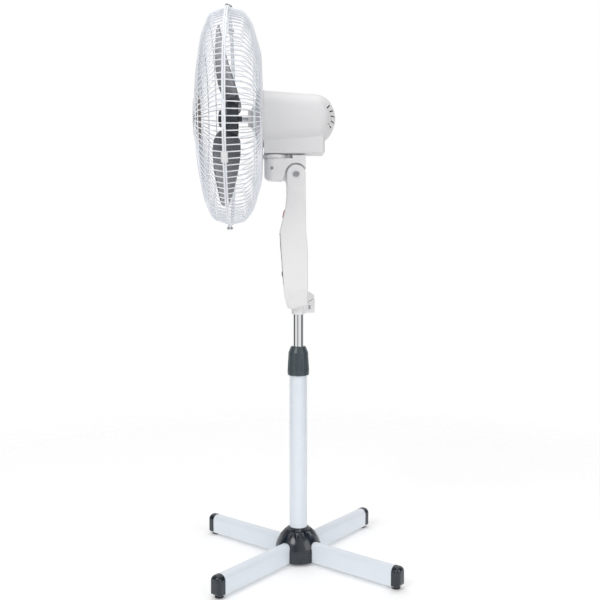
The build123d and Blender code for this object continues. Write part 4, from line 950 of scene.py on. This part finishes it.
HUB_Y0, HUB_Y1, BLADE_HUB_R, HUB_T, BOSS_R, DRIVE_Y = -146.0, -122.0, 40.0, 2.4, 6.2, -115.0
HUB_BORE_R = 4.03
hub_outline = rounded(
    [
        (HUB_Y0, HUB_BORE_R), (HUB_Y0, BLADE_HUB_R), (HUB_Y1, BLADE_HUB_R), (HUB_Y1, BLADE_HUB_R - HUB_T),
        (HUB_Y0 + HUB_T, BLADE_HUB_R - HUB_T), (HUB_Y0 + HUB_T, BOSS_R + 3), (HUB_Y1, BOSS_R + 2),
        (HUB_Y1 + 2, BOSS_R), (DRIVE_Y + 1.5, BOSS_R), (DRIVE_Y + 1.5, HUB_BORE_R),
    ],
    [0, 5, 0.6, 0.6, 3, 1, 0.5, 0.5, 0.5, 0],
)
blade_meshes = whole_blade()
hub_mesh = lathe("blade_hub", hub_outline, on_shaft, 128)
add_piece("blade_wings", joined("wings", blade_meshes), "rotor", "blade_plastic", ["fan_blade"], crease=50)
add_piece("blade_hub", hub_mesh, "rotor", "hub_plastic")

# ------------------------------------------------------------------ stage, light and camera
FLOOR_R, FLOOR_SIDES = 3000, 96
FLOOR_FADE, FLOOR_GAP = (0.45, 1.6), 0.0002  # metres: distances of the fade, and the drop below the feet


def stage_floor():
    """A pale floor that fades into the white surround."""
    made, nodes, links, shader = new_material("pale_floor")
    shader.inputs["Base Color"].default_value = (0.97, 0.97, 0.97, 1)
    shader.inputs["Roughness"].default_value = 0.7
    shader.inputs["Emission Color"].default_value = (1, 1, 1, 1)
    shader.inputs["Emission Strength"].default_value = 0.12
    place = nodes.new("ShaderNodeTexCoord")
    length = nodes.new("ShaderNodeVectorMath")
    length.operation = "LENGTH"
    links.new(place.outputs["Object"], length.inputs[0])
    links.new(ranged(nodes, links, length.outputs["Value"], 1, 0, *FLOOR_FADE), shader.inputs["Alpha"])
    points = [(x, y, 0) for x, y in circle(FLOOR_R, FLOOR_SIDES)]
    mesh = mesh_from("floor", points, [tuple(range(FLOOR_SIDES))])
    floor = bpy.data.objects.new("studio_floor", mesh)
    mesh.materials.append(made)
    bpy.context.scene.collection.objects.link(floor)
    floor.location.z = -FLOOR_GAP


def surround():
    """A white surround with two dark bands at the sides, which give the chrome its stripes."""
    world = bpy.data.worlds.new("surround")
    bpy.context.scene.world = world
    world.use_nodes = True
    nodes, links = world.node_tree.nodes, world.node_tree.links
    nodes.clear()
    place = nodes.new("ShaderNodeTexCoord")
    split = nodes.new("ShaderNodeSeparateXYZ")
    turn = nodes.new("ShaderNodeMath")
    turn.operation = "ARCTAN2"
    scale = nodes.new("ShaderNodeMapRange")
    scale.inputs["From Min"].default_value = -math.pi
    scale.inputs["From Max"].default_value = math.pi
    ramp = nodes.new("ShaderNodeValToRGB")
    stops = [
        (0.0, 1.0), (0.17, 1.0), (0.21, 0.03), (0.27, 0.03), (0.31, 1.0), (0.40, 1.0), (0.44, 0.25),
        (0.52, 0.9), (0.60, 1.0), (0.66, 1.0), (0.70, 0.04), (0.78, 0.04), (0.83, 1.0), (1.0, 1.0),
    ]
    while len(ramp.color_ramp.elements) > 1:
        ramp.color_ramp.elements.remove(ramp.color_ramp.elements[-1])
    for k, (where, value) in enumerate(stops):
        stop = ramp.color_ramp.elements[0] if k == 0 else ramp.color_ramp.elements.new(where)
        stop.position = where
        stop.color = (value, value, value, 1)
    background = nodes.new("ShaderNodeBackground")
    background.inputs["Strength"].default_value = 0.90
    white = nodes.new("ShaderNodeBackground")
    white.inputs["Color"].default_value = (1, 1, 1, 1)
    path = nodes.new("ShaderNodeLightPath")
    mix = nodes.new("ShaderNodeMixShader")
    out = nodes.new("ShaderNodeOutputWorld")
    links.new(place.outputs["Generated"], split.inputs[0])
    links.new(split.outputs["Y"], turn.inputs[0])
    links.new(split.outputs["X"], turn.inputs[1])
    links.new(turn.outputs[0], scale.inputs["Value"])
    links.new(scale.outputs["Result"], ramp.inputs["Fac"])
    links.new(ramp.outputs["Color"], background.inputs["Color"])
    links.new(path.outputs["Is Camera Ray"], mix.inputs["Fac"])
    links.new(background.outputs[0], mix.inputs[1])
    links.new(white.outputs[0], mix.inputs[2])
    links.new(mix.outputs[0], out.inputs["Surface"])


def softbox(name, place, target, size, power):
    """An area light aimed at a point, in metres."""
    data = bpy.data.lights.new(name, "AREA")
    data.shape = "RECTANGLE"
    data.size, data.size_y = size
    data.energy = power
    lamp = bpy.data.objects.new(name, data)
    bpy.context.scene.collection.objects.link(lamp)
    lamp.location = place
    lamp.rotation_mode = "QUATERNION"
    lamp.rotation_quaternion = (Vector(target) - Vector(place)).to_track_quat("-Z", "Y")


stage_floor()
surround()
softbox("key_light", (1.9, -1.5, 2.2), (0, 0, 0.7), (1.2, 1.2), 22)
softbox("fill_light", (1.6, 1.9, 1.2), (0, 0, 0.6), (1.4, 1.6), 11)
softbox("top_light", (-0.3, 0.0, 2.8), (0, 0, 0.5), (1.6, 1.6), 12)

CAMERA = Vector((1.6642, -0.0555, 0.6657))
CAMERA_DOWN = math.radians(4.15)
CAMERA_TURN = math.radians(-0.12)  # spreads the lean of the real pole between top and base
FOCAL_PIXELS, FRAME_PIXELS, SENSOR = 811.4, 600, 36.0
camera_data = bpy.data.cameras.new("camera")
camera_data.lens = FOCAL_PIXELS / FRAME_PIXELS * SENSOR
camera_data.sensor_width = SENSOR
camera = bpy.data.objects.new("camera", camera_data)
bpy.context.scene.collection.objects.link(camera)
camera.location = CAMERA
level_aim = Vector((-CAMERA.x, -CAMERA.y, 0)).normalized()
level_aim = Matrix.Rotation(CAMERA_TURN, 3, "Z") @ level_aim
aim = level_aim * math.cos(CAMERA_DOWN) - Vector((0, 0, 1)) * math.sin(CAMERA_DOWN)
camera.rotation_mode = "QUATERNION"
camera.rotation_quaternion = aim.to_track_quat("-Z", "Y")
bpy.context.scene.camera = camera
bpy.context.scene.view_settings.view_transform = "Standard"
